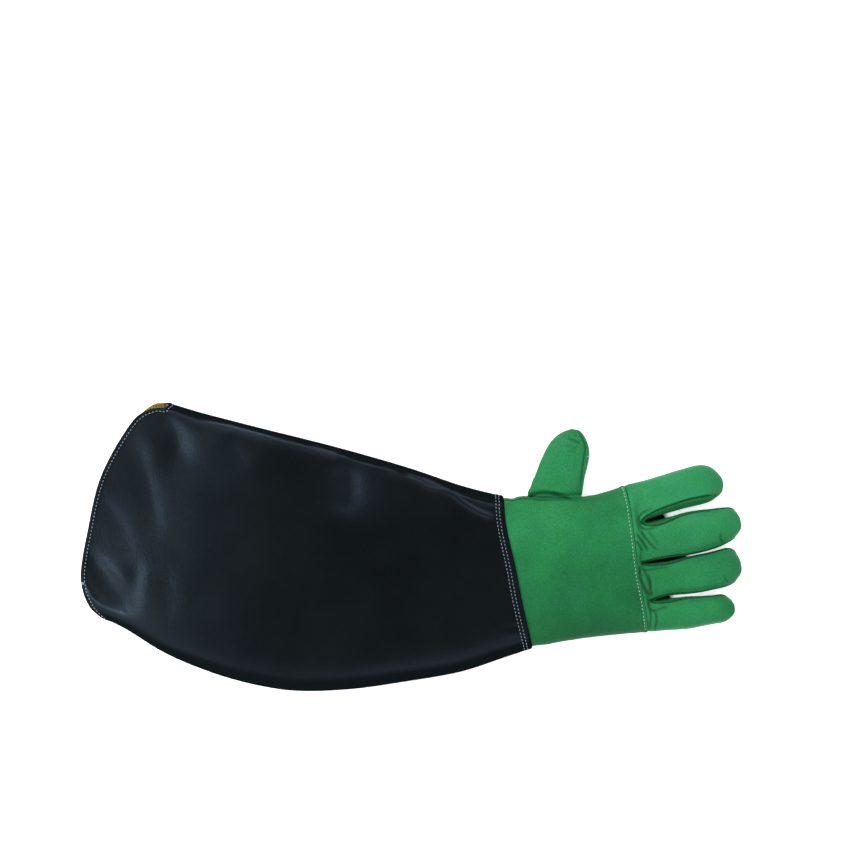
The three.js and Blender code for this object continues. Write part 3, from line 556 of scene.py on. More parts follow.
class Nodes:
    """The nodes of one material. Their inputs are set to values or linked to sockets."""

    def __init__(self, name):
        self.material = bpy.data.materials.new(name)
        self.material.use_nodes = True
        self.tree = self.material.node_tree
        self.place = self.node("ShaderNodeTexCoord").outputs["Object"]

    def fill(self, node, inputs):
        for key, value in inputs.items():
            if isinstance(value, bpy.types.NodeSocket):
                self.tree.links.new(value, node.inputs[key])
            else:
                node.inputs[key].default_value = value

    def node(self, kind, inputs=(), **settings):
        made = self.tree.nodes.new(kind)
        for key, value in settings.items():
            setattr(made, key, value)
        self.fill(made, dict(inputs))
        return made

    def texture(self, kind, output, inputs, **settings):
        made = self.node("ShaderNodeTex" + kind, {"Vector": self.place, **inputs}, **settings)
        return made.outputs[output]

    def noise(self, scale, detail=2, roughness=0.5):
        inputs = {"Scale": scale, "Detail": detail, "Roughness": roughness}
        return self.texture("Noise", "Fac", inputs)

    def cells(self, scale, smoothness):
        inputs = {"Scale": scale, "Smoothness": smoothness}
        return self.texture("Voronoi", "Distance", inputs, feature="SMOOTH_F1")

    def field(self, name):
        return self.node("ShaderNodeAttribute", attribute_name=name).outputs["Fac"]

    def span(self, value, low, high, **limits):
        """Values from 0 to 1, or between the given limits, spread from low to high."""
        inputs = {"Value": value, "To Min": low, "To Max": high}
        inputs.update({"From " + key: limit for key, limit in limits.items()})
        return self.node("ShaderNodeMapRange", inputs).outputs["Result"]

    def math(self, operation, a, b):
        return self.node("ShaderNodeMath", {0: a, 1: b}, operation=operation).outputs[0]

    def mix(self, factor, a, b, blend="MIX"):
        """A mix of two colours. A mix node's colour sockets have the numbers 6, 7 and 2."""
        inputs = {0: factor, 6: a, 7: b}
        return self.node("ShaderNodeMix", inputs, data_type="RGBA", blend_type=blend).outputs[2]

    def ramp(self, factor, *stops):
        """A colour ramp of (position, colour) stops."""
        made = self.node("ShaderNodeValToRGB", {"Fac": factor})
        elements = made.color_ramp.elements
        while len(elements) < len(stops):
            elements.new(0.5)
        for element, (position, colour) in zip(elements, stops):
            element.position = position
            element.color = (*colour, 1)
        return made.outputs["Color"]

    def bumps(self, *layers):
        """A normal bent by layers of (height, strength, distance)."""
        below = {}
        for height, strength, distance in layers:
            inputs = {"Height": height, "Strength": strength, "Distance": distance, **below}
            below = {"Normal": self.node("ShaderNodeBump", inputs).outputs["Normal"]}
        return below["Normal"]

    def finished(self, **inputs):
        """The material, with its shader's inputs filled in."""
        shader = self.tree.nodes["Principled BSDF"]
        self.fill(shader, {key.replace("_", " "): value for key, value in inputs.items()})
        return self.material


def leather_material():
    """Green grain leather: blotched and mottled, with painted shade in its seams and creases, and a fine
    grain.
    """
    nodes = Nodes("green_leather")
    mottle = nodes.noise(700, 5, 0.8)
    mixed = nodes.math("ADD", nodes.span(nodes.noise(26), 0, 0.5), nodes.span(mottle, -0.1, 1))
    # Tone of each piece, with painted shade on the fourchettes in the gaps between the middle, ring and
    # little fingers
    tone_and_painted_shade = nodes.math("ADD", mixed, nodes.field("tone_and_painted_shade"))
    colour = nodes.ramp(tone_and_painted_shade, (0.3, (0.005, 0.08, 0.024)), (0.7, (0.0125, 0.168, 0.046)),
                        (1, (0.026, 0.245, 0.084)))
    blotches = nodes.span(nodes.noise(45, 4, 0.6), -1, 1.4)
    colour = nodes.mix(blotches, colour, (1.12, 0.96, 1.28, 1), "MULTIPLY")
    # Painted shade: darker in the grooves of the seams and along the creases
    colour = nodes.mix(nodes.field("painted_shade"), colour, (0.0015, 0.028, 0.008, 1))
    # The raw edge of the hand's leather is lighter: partly its own colour, partly a painted highlight on
    # its rolled top
    colour = nodes.mix(nodes.field("raw_edge_and_highlight"), colour, (0.065, 0.35, 0.16, 1))
    pores, wrinkles = nodes.noise(2600), nodes.noise(330, 4, 0.55)
    normal = nodes.bumps((nodes.cells(950, 0.6), 0.35, 0.00022), (pores, 0.25, 0.00008),
                         (wrinkles, 0.35, 0.0005))
    return nodes.finished(Base_Color=colour, Normal=normal, Roughness=nodes.span(mottle, 0.46, 0.66),
                          Specular_IOR_Level=0.26, Specular_Tint=(0.5, 1, 0.7, 1))


def coated_material():
    """Blue-black coated cloth with a leathery grain and a soft sheen. Where it turns down and shines
    less, a painted reflection lightens it.
    """
    nodes = Nodes("black_coated_cloth")
    broad, fine = nodes.noise(18, 3), nodes.noise(420, 3, 0.6)
    gloss = nodes.field("gloss")
    colour = nodes.ramp(broad, (0.3, (0.0019, 0.0026, 0.0024)), (0.7, (0.0031, 0.0041, 0.0039)))
    # Painted reflection: where the cloth turns down and its shine is cut, its colour is lighter
    colour = nodes.mix(nodes.span(gloss, 1, -4), colour, (0.0045, 0.007, 0.0085, 1))
    # Painted shade along the stitches
    colour = nodes.mix(nodes.field("painted_shade"), colour, (0.001, 0.0013, 0.0015, 1))
    normal = nodes.bumps((nodes.cells(800, 0.5), 0.25, 0.00018), (fine, 0.45, 0.0003))
    rough = nodes.math("ADD", nodes.span(broad, -0.04, 0.04), nodes.span(fine, 0.34, 0.44))
    return nodes.finished(Base_Color=colour, Normal=normal, Roughness=rough,
                          Specular_IOR_Level=nodes.span(gloss, 0, 0.53),
                          Specular_Tint=(0.5, 0.72, 1, 1))


def lining_material():
    """Matt yellow woven cloth."""
    nodes = Nodes("yellow_lining")
    inputs = {"Scale": 125, "Distortion": 0.6, "Detail": 1}
    threads = [nodes.texture("Wave", "Fac", inputs, bands_direction=way) for way in "XY"]
    weave = nodes.math("MAXIMUM", *threads)
    colour = nodes.ramp(nodes.noise(500, 3, 0.7), (0.3, (0.15, 0.11, 0.006)), (0.7, (0.32, 0.25, 0.016)))
    dark = nodes.mix(weave, (0.12, 0.1, 0.08, 1), (1, 1, 1, 1))
    return nodes.finished(Base_Color=nodes.mix(1.0, colour, dark, "MULTIPLY"), Roughness=0.9,
                          Sheen_Weight=0.3, Normal=nodes.bumps((weave, 0.6, 0.0004)))


def brass_material():
    """Bright yellow brass with fine scratches."""
    nodes = Nodes("bright_brass")
    scratches = nodes.noise(900, 4, 0.7)
    colour = nodes.ramp(scratches, (0.3, (0.58, 0.44, 0.06)), (0.7, (0.8, 0.66, 0.14)))
    return nodes.finished(Base_Color=colour, Metallic=1, Roughness=nodes.span(scratches, 0.2, 0.4),
                          Normal=nodes.bumps((scratches, 0.15, 0.0001)))


def thread_material(name, light, dark):
    """Twisted sewing thread."""
    nodes = Nodes(name)
    inputs = {"Scale": 700, "Distortion": 1}
    twist = nodes.texture("Wave", "Fac", inputs, bands_direction="DIAGONAL")
    return nodes.finished(Base_Color=nodes.ramp(twist, (0.2, dark), (0.8, light)), Roughness=0.75,
                          Specular_IOR_Level=0.3, Normal=nodes.bumps((twist, 0.4, 0.0001)))


LEATHER = leather_material()
COATED = coated_material()
LINING = lining_material()
BRASS = brass_material()
SLEEVE_THREAD = thread_material("grey_thread", (0.29, 0.38, 0.46), (0.16, 0.22, 0.28))
LEATHER_THREAD = thread_material("pale_green_thread", (0.38, 0.72, 0.5), (0.22, 0.52, 0.32))


# Sleeve

sleeve_plan = coons_patch(MOUTH_EDGE, CUFF_EDGE, STRAIGHT_SIDE, CURVED_SIDE)
straight_length, curved_length = (PlanCurve(side).length for side in (STRAIGHT_SIDE, CURVED_SIDE))


def fold_relief(xy):
    """Steps and narrow ridges of the sleeve's top layer."""
    relief = np.zeros(xy.shape[:-1])
    for line, depth, steep, gentle in FOLDS:
        d, strength = near_line(xy, line, FOLD_FORM["reach"] * gentle)
        d = d + FOLD_FORM["shift"] * steep
        relief -= depth * strength * np.where(d > 0, bell(d, steep), bell(d, gentle))
    for line, width, rise in RIDGES:
        d, strength = near_line(xy, line, RIDGE_FORM["reach"] * width, RIDGE_FORM["fade"])
        relief += rise * strength * bell(d, width)
    return relief


def coated_gloss(xy, normals):
    """How much the coated cloth shines: more on its ridges, and less where it turns down."""
    level = np.abs(normals[..., 2])
    shine = np.zeros(xy.shape[:-1])
    for line, width, _ in RIDGES:
        d, strength = near_line(xy, line, RIDGE_FORM["shine_reach"] * width, RIDGE_FORM["fade"])
        shine = np.maximum(shine, strength * bell(d, RIDGE_FORM["shine_width"] * width))
    shine = shine * smoothstep(*GLOSS["ridge_facing"], level)
    facing = smoothstep(*GLOSS["facing"], level)
    for x, y, reach, worn in WORN_PATCHES:
        shine = np.maximum(shine, worn * facing * near_place(xy, x, y, reach))
    flat = GLOSS["flat"] * facing
    return flat + (1 - flat) * shine


def sleeve_height(u):
    """Height of the sleeve's top, with its changes of slope evened out."""
    total = sum(np.interp(u + shift, *SLEEVE_HEIGHTS) for shift in HEIGHT_WINDOW)
    return total / len(HEIGHT_WINDOW)


def sleeve_layer(u, t, upper):
    """Points of one layer's outer face: u from the mouth to the cuff, t across it."""
    across = (1 - t) / 2
    plan = sleeve_plan(u, across)
    top = sleeve_height(u)
    roundness = np.where(t > 0, STRAIGHT_ROUNDNESS, CURVED_ROUNDNESS)
    flat_to = np.where(t > 0, STRAIGHT_FLAT, CURVED_FLAT)
    z = section_height(t, top, EDGE_SHARE * top, roundness, flat_to, upper)
    if upper:
        corner = np.minimum(1, across / CORNER_SETBACK["span"])
        fullness = np.sqrt(corner) * (1 - corner) ** 2 / CORNER_SETBACK["peak"]
        setback = CORNER_SETBACK["depth"] * fullness * np.exp(-u / CORNER_SETBACK["reach"])
        plan = plan + setback[..., None] * np.array(CORNER_SETBACK["way"])
    else:
        z = np.maximum(z, MOUTH_LIFT * smoothstep(LIFT_FROM, LIFT_FULL, u))
    return np.concatenate([plan, z[..., None]], -1)


def sleeve_shares():
    """Row positions along the sleeve: close together at the hem and the cuff."""
    length = (straight_length + curved_length) / 2
    close, wide, hem_rows, cuff_rows = (ROW_STEPS[key] for key in ("close", "wide", "hem", "cuff"))
    middle = length - close * (hem_rows + cuff_rows)
    middle_rows = 2 * round(middle / wide / 2)
    steps = [close] * hem_rows + [middle / middle_rows] * middle_rows + [close] * cuff_rows
    return np.concatenate([[0], np.cumsum(steps)]) / length


def ring_of(upper, lower):
    """Rows of rings: the top layer from the index side across, then the under layer back."""
    return np.concatenate([upper, lower[:, -2:0:-1]], axis=1)


def punch(grid):
    """Points and quads of a tube, with the eyelet's hole cut in its under layer.

    Faces inside the hole go, and the rest end on its circle.
    """
    points = grid.reshape(-1, 3).copy()
    quads = grid_quads(*grid.shape[:2])
    centre = np.array((EYELET["x"], EYELET["y"]))
    radius = EYELET["cut"] + PUNCH["play"]
    offset = points[:, :2] - centre
    inside = (np.linalg.norm(offset, axis=1) < radius) & (points[:, 2] < PUNCH["below"])
    points[inside, :2] = centre + unit(offset[inside]) * radius
    return points, quads[~inside[quads].all(axis=1)]


def sleeve_wall(outer, inner):
    """Points and faces of a punched tube's wall, closed at the mouth and at the other end.

    The inner face has as many rows and columns as the outer face, or every second one.
    """
    rows, ring = outer.shape[:2]
    inner_rows, inner_ring = inner.shape[:2]
    step = ring // inner_ring
    start = rows * ring
    outer_points, outer_quads = punch(outer)
    inner_points, inner_quads = punch(inner)
    faces = outer_quads.tolist() + (inner_quads[:, ::-1] + start).tolist()
    for row, inner_row, flip in ((0, 0, False), (rows - 1, inner_rows - 1, True)):
        for k in range(inner_ring):
            a, b, c = (row * ring + (step * k + i) % ring for i in range(3))
            p, q = (start + inner_row * inner_ring + (k + i) % inner_ring for i in range(2))
            rim = [(b, a, p), (b, p, q), (c, b, q)] if step == 2 else [(b, a, p, q)]
            faces += [face[::-1] for face in rim] if flip else rim
    return np.concatenate([outer_points, inner_points]), faces


def sleeve_drape(base):
    """Folds and unevenness that both walls of the sleeve share, on its upper side."""
    relief = uneven(base, SLEEVE_UNEVEN) + fold_relief(base[..., :2])
    return relief * smoothstep(*DRAPE_HEIGHTS, base[..., 2])


def turned_edge(edge, distance):
    """Relief of a turned edge: a band that stands up, with a groove at each row of stitches."""
    relief = edge["rise"] * (smoothstep(0, edge["start"], distance)
                             - smoothstep(edge["rows"][-1], edge["band"], distance))
    grooves = [(edge["round"], 0), *((edge["groove"], row) for row in edge["rows"])]
    return relief - sum(depth * bell(distance - at, width) for (depth, width), at in grooves)


def distance_to_mouth(base, run):
    """Distance from the mouth's edge, straight across the hem. Farther in, the run along the sleeve."""
    distance = run.copy()
    close = run < HEM["reach"]
    edge = base[0]
    distance[close] = distance_to_edges(edge, np.roll(edge, -1, axis=0), base[close])
    kink = HEM_KINK["in"] * near_place(base, *HEM_KINK["place"])
    return distance - kink * smoothstep(*HEM_KINK["heights"], base[..., 2])


def build_sleeve():
    u = sleeve_shares()[:, None]
    columns = np.arange(COLUMNS * FINE_PER_COLUMN + 1) / FINE_PER_COLUMN
    t = column_position(columns)[None, :]
    base = ring_of(sleeve_layer(u, t, True), sleeve_layer(u, t, False))
    quads = grid_quads(*base.shape[:2])
    base = base + quad_normals(base, quads) * sleeve_drape(base)[..., None]
    normals = quad_normals(base, quads)
    t = ring_of(t, t)
    length = (straight_length * (1 + t) + curved_length * (1 - t)) / 2
    mouth = distance_to_mouth(base, u * length)
    cuff = (1 - u) * length
    pucker = noise_field(base * np.array(PUCKER["stretch"]), PUCKER["scale"], PUCKER["seed"])
    relief = turned_edge(HEM, mouth) + turned_edge(CUFF, cuff)
    relief += PUCKER["depth"] * pucker * bell(cuff - PUCKER["at"], PUCKER["reach"])
    outer = base + normals * relief[..., None]
    outer[..., 2] = np.maximum(outer[..., 2], 0)
    inner = (base - normals * SLEEVE_WALL)[::2, ::2]
    # Painted shade along the grooves under the stitches
    from_stitches = [np.abs(mouth - row) for row in HEM["rows"]]
    from_stitches += [np.abs(cuff - row) for row in CUFF["rows"]]
    dark = STITCH_SHADE["dark"] * bell(np.min(from_stitches, axis=0), STITCH_SHADE["width"])
    gloss = coated_gloss(base[..., :2], quad_normals(outer, quads))
    inside = np.zeros(inner.shape[0] * inner.shape[1])
    fields = {"painted_shade": np.append(dark, inside), "gloss": np.append(gloss, inside)}
    points, faces = sleeve_wall(outer, inner)
    add_piece("sleeve_shell", points, faces, COATED, ["sleeve"], fields)
    return {"base": base, "normals": normals, "outer": outer, "mouth": mouth, "cuff": cuff, "u": u}


def build_lining(sleeve):
    """The lining lies inside the sleeve and stops where the leather starts."""
    rows = sleeve["u"][:, 0] <= 1 - LINING_END
    base, normals = (sleeve[key][rows][::2, ::2] for key in ("base", "normals"))
    outer = base - normals * (SLEEVE_WALL + LAYER_GAP)
    inner = outer - normals * LINING_WALL
    for face in (outer, inner):
        face[0, :, 0] += LINING_SETBACK
    points, faces = sleeve_wall(outer, inner)
    add_piece("lining_shell", points, faces, LINING, ["sleeve_lining"])


# Leather hand: the same skin as the model's, smoothed, with seams and creases pressed in

hand_plan = coons_patch(CUFF_EDGE, KNUCKLE_SEAM, INDEX_SIDE, LITTLE_SIDE)


class Skin:
    """Outer points and faces, each face named for the piece that it belongs to."""

    def __init__(self):
        self.points = []
        self.faces = []
        self.names = []

    def point(self, position):
        self.points.append(np.array(position, float))
        return len(self.points) - 1

    def face(self, piece, corners):
        """A face without corners that fall together, or none if it then has no area."""
        kept = [a for a, b in zip(corners, corners[1:] + corners[:1]) if a != b]
        if len(set(kept)) > 2:
            self.faces.append(kept)
            self.names.append(piece)

    def quad(self, piece, near, far, j, back=True):
        """The face between two rows beside column j, on the back or on the front of the glove."""
        corners = [near[j], near[j + 1], far[j + 1], far[j]]
        self.face(piece, corners if back else corners[:1] + corners[:0:-1])

    def seams(self):
        """The kind of seam at each edge between two pieces."""
        beside = {}
        for name, corners in zip(self.names, self.faces):
            for edge in zip(corners, corners[1:] + corners[:1]):
                beside.setdefault(frozenset(edge), set()).add(name)
        return {edge: seam_kind(names) for edge, names in beside.items() if len(names) > 1}


def seam_kind(names):
    """What kind of seam lies between two pieces."""
    if "thumb" in names:
        return "thumb_base"
    if any(name.startswith("fourchette") for name in names):
        return "fourchette"
    if names in ({"hand_back", "finger_backs"}, {"hand_palm", "finger_fronts"}):
        return "knuckle"
    return "side"


def hand_height(v):
    """Height of the hand's top, eased from each share of the length to the next."""
    shares, heights = HAND_HEIGHTS
    steps = zip(shares, shares[1:], np.diff(heights))
    return heights[0] + sum(rise * smoothstep(start, end, v) for start, end, rise in steps)


def hand_point(v, column, upper):
    t = SIDE_WRAP["position"] if column == 1 else float(column_position(column))
    x, y = hand_plan(v, (1 - t) / 2)
    z = float(section_height(t, hand_height(v), HAND_EDGE_HEIGHT, HAND_ROUNDNESS, HAND_FLAT, upper))
    if upper:
        z -= KNUCKLE_VALLEY * v ** 4 * (0.5 - 0.5 * math.cos(4 * math.pi * (t + 0.25)))
    return x, y, z


def finger_frame(finger):
    angle = math.radians(finger["heading"])
    return {
        "root": np.array((*finger["root"], 0), float),
        "axis": np.array((math.cos(angle), math.sin(angle), 0)),
        "left": np.array((-math.sin(angle), math.cos(angle), 0)),
    }


def section_point(place, section, degrees):
    """A point of a rounded section: angle 0 at the upper side of the plan, 90 at the top."""
    distance, upper, lower, top, under = section
    angle = math.radians(degrees)
    cosine, sine = (math.copysign(abs(value) ** SECTION_POWER, value)
                    for value in (math.cos(angle), math.sin(angle)))
    fullness = UNDERSIDE_FULLNESS if sine < 0 and under < 1 else 1
    side = (upper - lower) / 2 + (upper + lower) / 2 * cosine
    point = place["root"] + place["axis"] * distance + place["left"] * side
    point[2] = max(under, (top + under) / 2 + (top - under) / 2 * sine * fullness)
    return point


def palm_rows(skin, sleeve):
    """Back and front point numbers of the hand's rows, from inside the sleeve to the knuckle seam."""
    ring = sleeve["base"].shape[1]
    shares = sleeve["u"][:, 0]
    lap_row = int(np.argmin(np.abs(shares - (1 - CUFF_LAP))))

    def sleeve_point(r, column, upper):
        j = column * FINE_PER_COLUMN * (1 if upper else -1) % ring
        return sleeve["base"][r, j] - sleeve["normals"][r, j] * (SLEEVE_WALL + LAYER_GAP)

    places = [(sleeve_point, lap_row), (sleeve_point, len(shares) - 1)]
    places += [(hand_point, v) for v in HAND_ROWS]
    rows = []
    for point_at, row in places:
        back, front = [], []
        for column in range(COLUMNS + 1):
            back.append(skin.point(point_at(row, column, True)))
            at_side = column in (0, COLUMNS)
            front.append(back[-1] if at_side else skin.point(point_at(row, column, False)))
        rows.append((back, front))
    return rows


def add_palm(skin, rows):
    """The panels over and under the hand. The lower one wraps over the index side."""
    first, last = THUMB_HOLE["rows"]
    for r, ((back, front), (far_back, far_front)) in enumerate(zip(rows, rows[1:])):
        for j in range(COLUMNS):
            wrapped = r < SIDE_WRAP["last_row"] and j == 0
            skin.quad("hand_palm" if wrapped else "hand_back", back, far_back, j)
            if not (first <= r < last and j < THUMB_HOLE["columns"]):
                skin.quad("hand_palm", front, far_front, j, False)


def add_webs(skin, knuckle):
    """The seams and the fold of each web, shared by the two fingers beside it."""
    webs = []
    for i, web in enumerate(WEBS.values()):
        back_start, front_start = (row[(i + 1) * COLUMNS_PER_FINGER] for row in knuckle)
        end = np.array((web["x"], web["y"], WEB_SEAM["height"]))
        back = end - finger_frame(FINGERS[i])["axis"] * web["back"]
        back[2] = WEB_SEAM["back_height"]
        ahead = unit((end - skin.points[front_start]) * (1, 1, 0))
        front = skin.points[front_start] + ahead * WEB_SEAM["front"]
        front[2] = WEB_SEAM["front_height"]
        built = {"fold": skin.point(end)}
        for name, start, point in (("back", back_start, back), ("front", front_start, front)):
            middle = (skin.points[start] + point) / 2
            built[name] = [start, skin.point(middle), skin.point(point)]
        webs.append(built)
    return webs


def yoke_row(skin, r, first, last, edges):
    """A row between the knuckle seam and a finger's first full section. It meets the given edges."""
    share = r / (YOKE_ROWS + 1)
    straight = [skin.points[a] * (1 - share) + skin.points[b] * share for a, b in zip(first, last)]
    end = len(straight) - 1
    row = []
    for j, point in enumerate(straight):
        for edge, k, nearness in ((edges[0], 0, 1 - j / end), (edges[1], end, j / end)):
            if edge is not None:
                point = point + (skin.points[edge] - straight[k]) * nearness ** 2
        given = {0: edges[0], end: edges[1]}.get(j)
        row.append(skin.point(point) if given is None else given)
    return row


def full_sections(skin, finger, webs):
    """Rows round the finger: its back, its front and the folds of the fourchettes between them."""
    place = finger_frame(finger)
    last = len(finger["sections"]) - 1
    rows = []
    for i, (distance, upper, lower, *back_edges) in enumerate(finger["sections"]):
        shape = (distance, upper, lower, *FINGER_HEIGHTS[i])
        front_edges = [FOURCHETTE_FRONTS[i] if web else 0 for web in webs]
        back, front = [], []
        for j in range(COLUMNS_PER_FINGER + 1):
            share = j / COLUMNS_PER_FINGER
            back_angle, front_angle = (edges[0] * (1 - share) + (180 - edges[1]) * share
                                       for edges in (back_edges, front_edges))
            point = section_point(place, shape, back_angle)
            if i == last:
                arch = math.sin(math.radians(back_angle)) - TIP_ARCH["level"]
                point = point + place["axis"] * TIP_ARCH["out"] * arch
            back.append(skin.point(point))
            at_side = j in (0, COLUMNS_PER_FINGER) and webs[min(j, 1)] is None
            meets = i == last or at_side
            front.append(back[j] if meets else skin.point(section_point(place, shape, -front_angle)))
        folds = [back[side * COLUMNS_PER_FINGER] if i == last or web is None
                 else skin.point(section_point(place, shape, side * 180))
                 for side, web in enumerate(webs)]
        rows.append((back, front, folds))
    return rows


def add_finger(skin, f, knuckle, webs):
    """A finger's back and front, and its half of the fourchettes towards its webs."""
    first = f * COLUMNS_PER_FINGER
    back, front = ([row[first:first + COLUMNS_PER_FINGER + 1]] for row in knuckle)
    backs, fronts, folds = zip(*full_sections(skin, FINGERS[f], webs))
    for r in range(1, YOKE_ROWS + 1):
        edges = [web["back"][r] if web else None for web in webs]
        back.append(yoke_row(skin, r, back[0], backs[0], edges))
        edges = [web["front"][r] if web else back[r][side * COLUMNS_PER_FINGER]
                 for side, web in enumerate(webs)]
        front.append(yoke_row(skin, r, front[0], fronts[0], edges))
    back += backs
    front += fronts
    for r in range(len(back) - 1):
        for j in range(COLUMNS_PER_FINGER):
            skin.quad("finger_backs", back[r], back[r + 1], j)
            skin.quad("finger_fronts", front[r], front[r + 1], j, False)
    for side, web in enumerate(webs):
        if web is None:
            continue
        piece = "fourchette_" + list(WEBS)[f - 1 + side]
        j = side * COLUMNS_PER_FINGER
        line = [web["fold"]] + [row[side] for row in folds]
        for r, (fold, after) in enumerate(zip(line, line[1:]), YOKE_ROWS):
            for corners in ([back[r][j], fold, after, back[r + 1][j]],
                            [fold, front[r][j], front[r + 1][j], after]):
                skin.face(piece, corners if side else corners[::-1])


def add_thumb(skin, rows):
    """A tube that grows from the hole beside the index side, closed by a short seam at its tip."""
    first, last = THUMB_HOLE["rows"]
    columns = THUMB_HOLE["columns"]
    root = [row[0][0] for row in rows[first:last + 1]]
    root += rows[last][1][1:columns]
    root += [row[1][columns] for row in rows[last:first - 1:-1]]
    root += rows[first][1][columns - 1:0:-1]
    corner = THUMB_CORNER_ANGLE
    top = np.linspace(corner, 180 - corner, last - first + 1)
    side = np.linspace(180 - corner, 180 + corner, columns + 1)[1:-1]
    place = finger_frame(THUMB)

    def section_row(section, angles):
        return [skin.point(section_point(place, section, angle)) for angle in angles]

    *sections, end = THUMB["sections"]
    rings = [root]
    rings += [section_row(section, [*top, *side, *(180 + top), *(180 + side)]) for section in sections]
    tip = section_row(end, top)
    rings.append(tip + [tip[-1]] * (columns - 1) + tip[::-1] + [tip[0]] * (columns - 1))
    for near, far in zip(rings, rings[1:]):
        for i in range(len(near)):
            skin.quad("thumb", near + near[:1], far + far[:1], i)


def hand_skin(sleeve):
    skin = Skin()
    rows = palm_rows(skin, sleeve)
    add_palm(skin, rows)
    webs = [None, *add_webs(skin, rows[-1]), None]
    for f in range(len(FINGERS)):
        add_finger(skin, f, rows[-1], webs[f:f + 2])
    add_thumb(skin, rows)
    return skin


def values_of(items, key, width=1, kind=int):
    """A property of mesh items, with a row for each."""
    values = np.zeros(len(items) * width, kind)
    items.foreach_get(key, values)
    return values.reshape(-1, width)


def subdivided(points, skin, levels):
    """The skin's smooth surface: points, quads, the piece of each quad, and the seam edges."""
    mesh = bpy.data.meshes.new("cage")
    mesh.from_pydata(points.tolist(), [], skin.faces)
    pieces = [PIECES.index(name) for name in skin.names]
    mesh.attributes.new("piece", "INT", "FACE").data.foreach_set("value", pieces)
    seams = skin.seams()
    pairs = values_of(mesh.edges, "vertices", 2).tolist()
    kinds = [SEAM_KINDS.index(seams.get(frozenset(pair))) for pair in pairs]
    mesh.attributes.new("seam_kind", "INT", "EDGE").data.foreach_set("value", kinds)
    cage = in_scene("cage", mesh)
    cage.modifiers.new("smooth", "SUBSURF").levels = levels
    fine = cage.evaluated_get(bpy.context.evaluated_depsgraph_get()).to_mesh()
    found = {
        "points": values_of(fine.vertices, "co", 3, float),
        "edges": values_of(fine.edges, "vertices", 2),
        "quads": values_of(fine.loops, "vertex_index").reshape(-1, 4),
        "piece": values_of(fine.attributes["piece"].data, "value")[:, 0],
        "kind": values_of(fine.attributes["seam_kind"].data, "value")[:, 0],
    }
    bpy.data.objects.remove(cage)
    bpy.data.meshes.remove(mesh)
    return found


def smooth_skin(skin):
    """The smooth surface that passes through the skin's own points."""
    target = np.array(skin.points)
    cage = target.copy()
    for _ in range(FIT["rounds"]):
        near = subdivided(cage, skin, 1)["points"][:len(target)]
        cage += FIT["share"] * (target - near)
    return subdivided(cage, skin, SUBDIVISIONS)


def relaxed(points, edges, weight=1, rounds=60, steps=(0.5, -0.51)):
    """Evens out small bumps and corners, and keeps the size if the second step undoes the first."""
    neighbours = np.maximum(np.bincount(edges.ravel(), minlength=len(points)), 1)
    a, b = edges.T
    for _ in range(rounds):
        for step in steps:
            mean = np.stack([
                (np.bincount(a, points[b, k], len(points)) + np.bincount(b, points[a, k], len(points)))
                / neighbours for k in range(3)], axis=-1)
            points = points + step * weight * (mean - points)
    return points


def from_tips(points):
    """Each point's distance to the nearest fingertip, in plan."""
    away = []
    for finger in FINGERS:
        place = finger_frame(finger)
        x, y, _ = place["root"] + place["axis"] * finger["sections"][-1][0]
        away.append(plan_distance(points, x, y))
    return np.min(away, axis=0)


def ruffled(points):
    """The palm's wrapped edge in small waves, and the leather drawn in at the heel of the thumb."""
    x, y, z = points.T
    side = np.interp(x, *np.array(INDEX_SIDE, float).T)
    near_side = bell(y - side, RUFFLE_REACH) * smoothstep(*RUFFLE_HEIGHTS, z)
    waves = sum(out * bell(x - at, width) for at, width, out in RUFFLES)
    heel = THUMB_HEEL["out"] * near_place(points, *THUMB_HEEL["place"])
    return np.stack([x + heel, y + waves * near_side, z], -1)


def seam_distances(fine, points, tips):
    """Each point's distance to the nearest seam of each kind. It grows where the seam fades out."""
    distances = {}
    for kind in SEAMS:
        a, b = fine["edges"][fine["kind"] == SEAM_KINDS.index(kind)].T
        distances[kind] = distance_to_edges(points[a], points[b], points)
    x, _, z = points.T
    on_back = (x < FADE_AREA["before"]) * (z > FADE_AREA["above"])
    for kind, fade in SEAM_FADES.items():
        distances[kind] += FADE_DISTANCE * smoothstep(*fade, x) * on_back
    distances["fourchette"] += FADE_DISTANCE * (1 - smoothstep(*TIP_SEAM_FADE, tips))
    return distances


def seam_relief(piece, distances):
    """How far the seams press in and roll up a piece's surface."""
    relief = np.zeros_like(distances["side"])
    for kind, (depth, width, roll, away, spread, _) in SEAMS.items():
        relief += roll * bell(distances[kind] - away, spread) - depth * bell(distances[kind], width)
    d = distances["knuckle"]
    lap = KNUCKLE_LAP
    if not piece.startswith("hand"):
        return relief - lap["drop"] * bell(d, lap["reach"])
    relief += lap["rise"] * (1 - smoothstep(lap["band"] / 2, lap["band"], d))
    for (depth, width), at in ((lap["round"], 0), (lap["groove"], lap["stitch"])):
        relief -= depth * bell(d - at, width)
    return relief


def crease_relief(points, normals):
    """Relief and painted shade of the creases on the back of the glove, with soft rolls beside them."""
    form = CREASE_FORM
    relief, dark = np.zeros((2, len(points)))
    facing = smoothstep(*form["facing"], normals[:, 2])
    for line, width, depth in CREASES + [THUMB_SEAM]:
        d, strength = near_line(points[:, :2], line, form["reach"] * width, form["fade"])
        strength = strength * facing
        rolls = form["roll"] * bell(np.abs(d) - form["roll_at"] * width, width)
        relief += depth * strength * (rolls - bell(d, width))
        painted_shade = form["dark"] * min(1, depth) * bell(d, form["dark_width"] * width)
        dark = np.maximum(dark, painted_shade * strength)
    return relief, dark


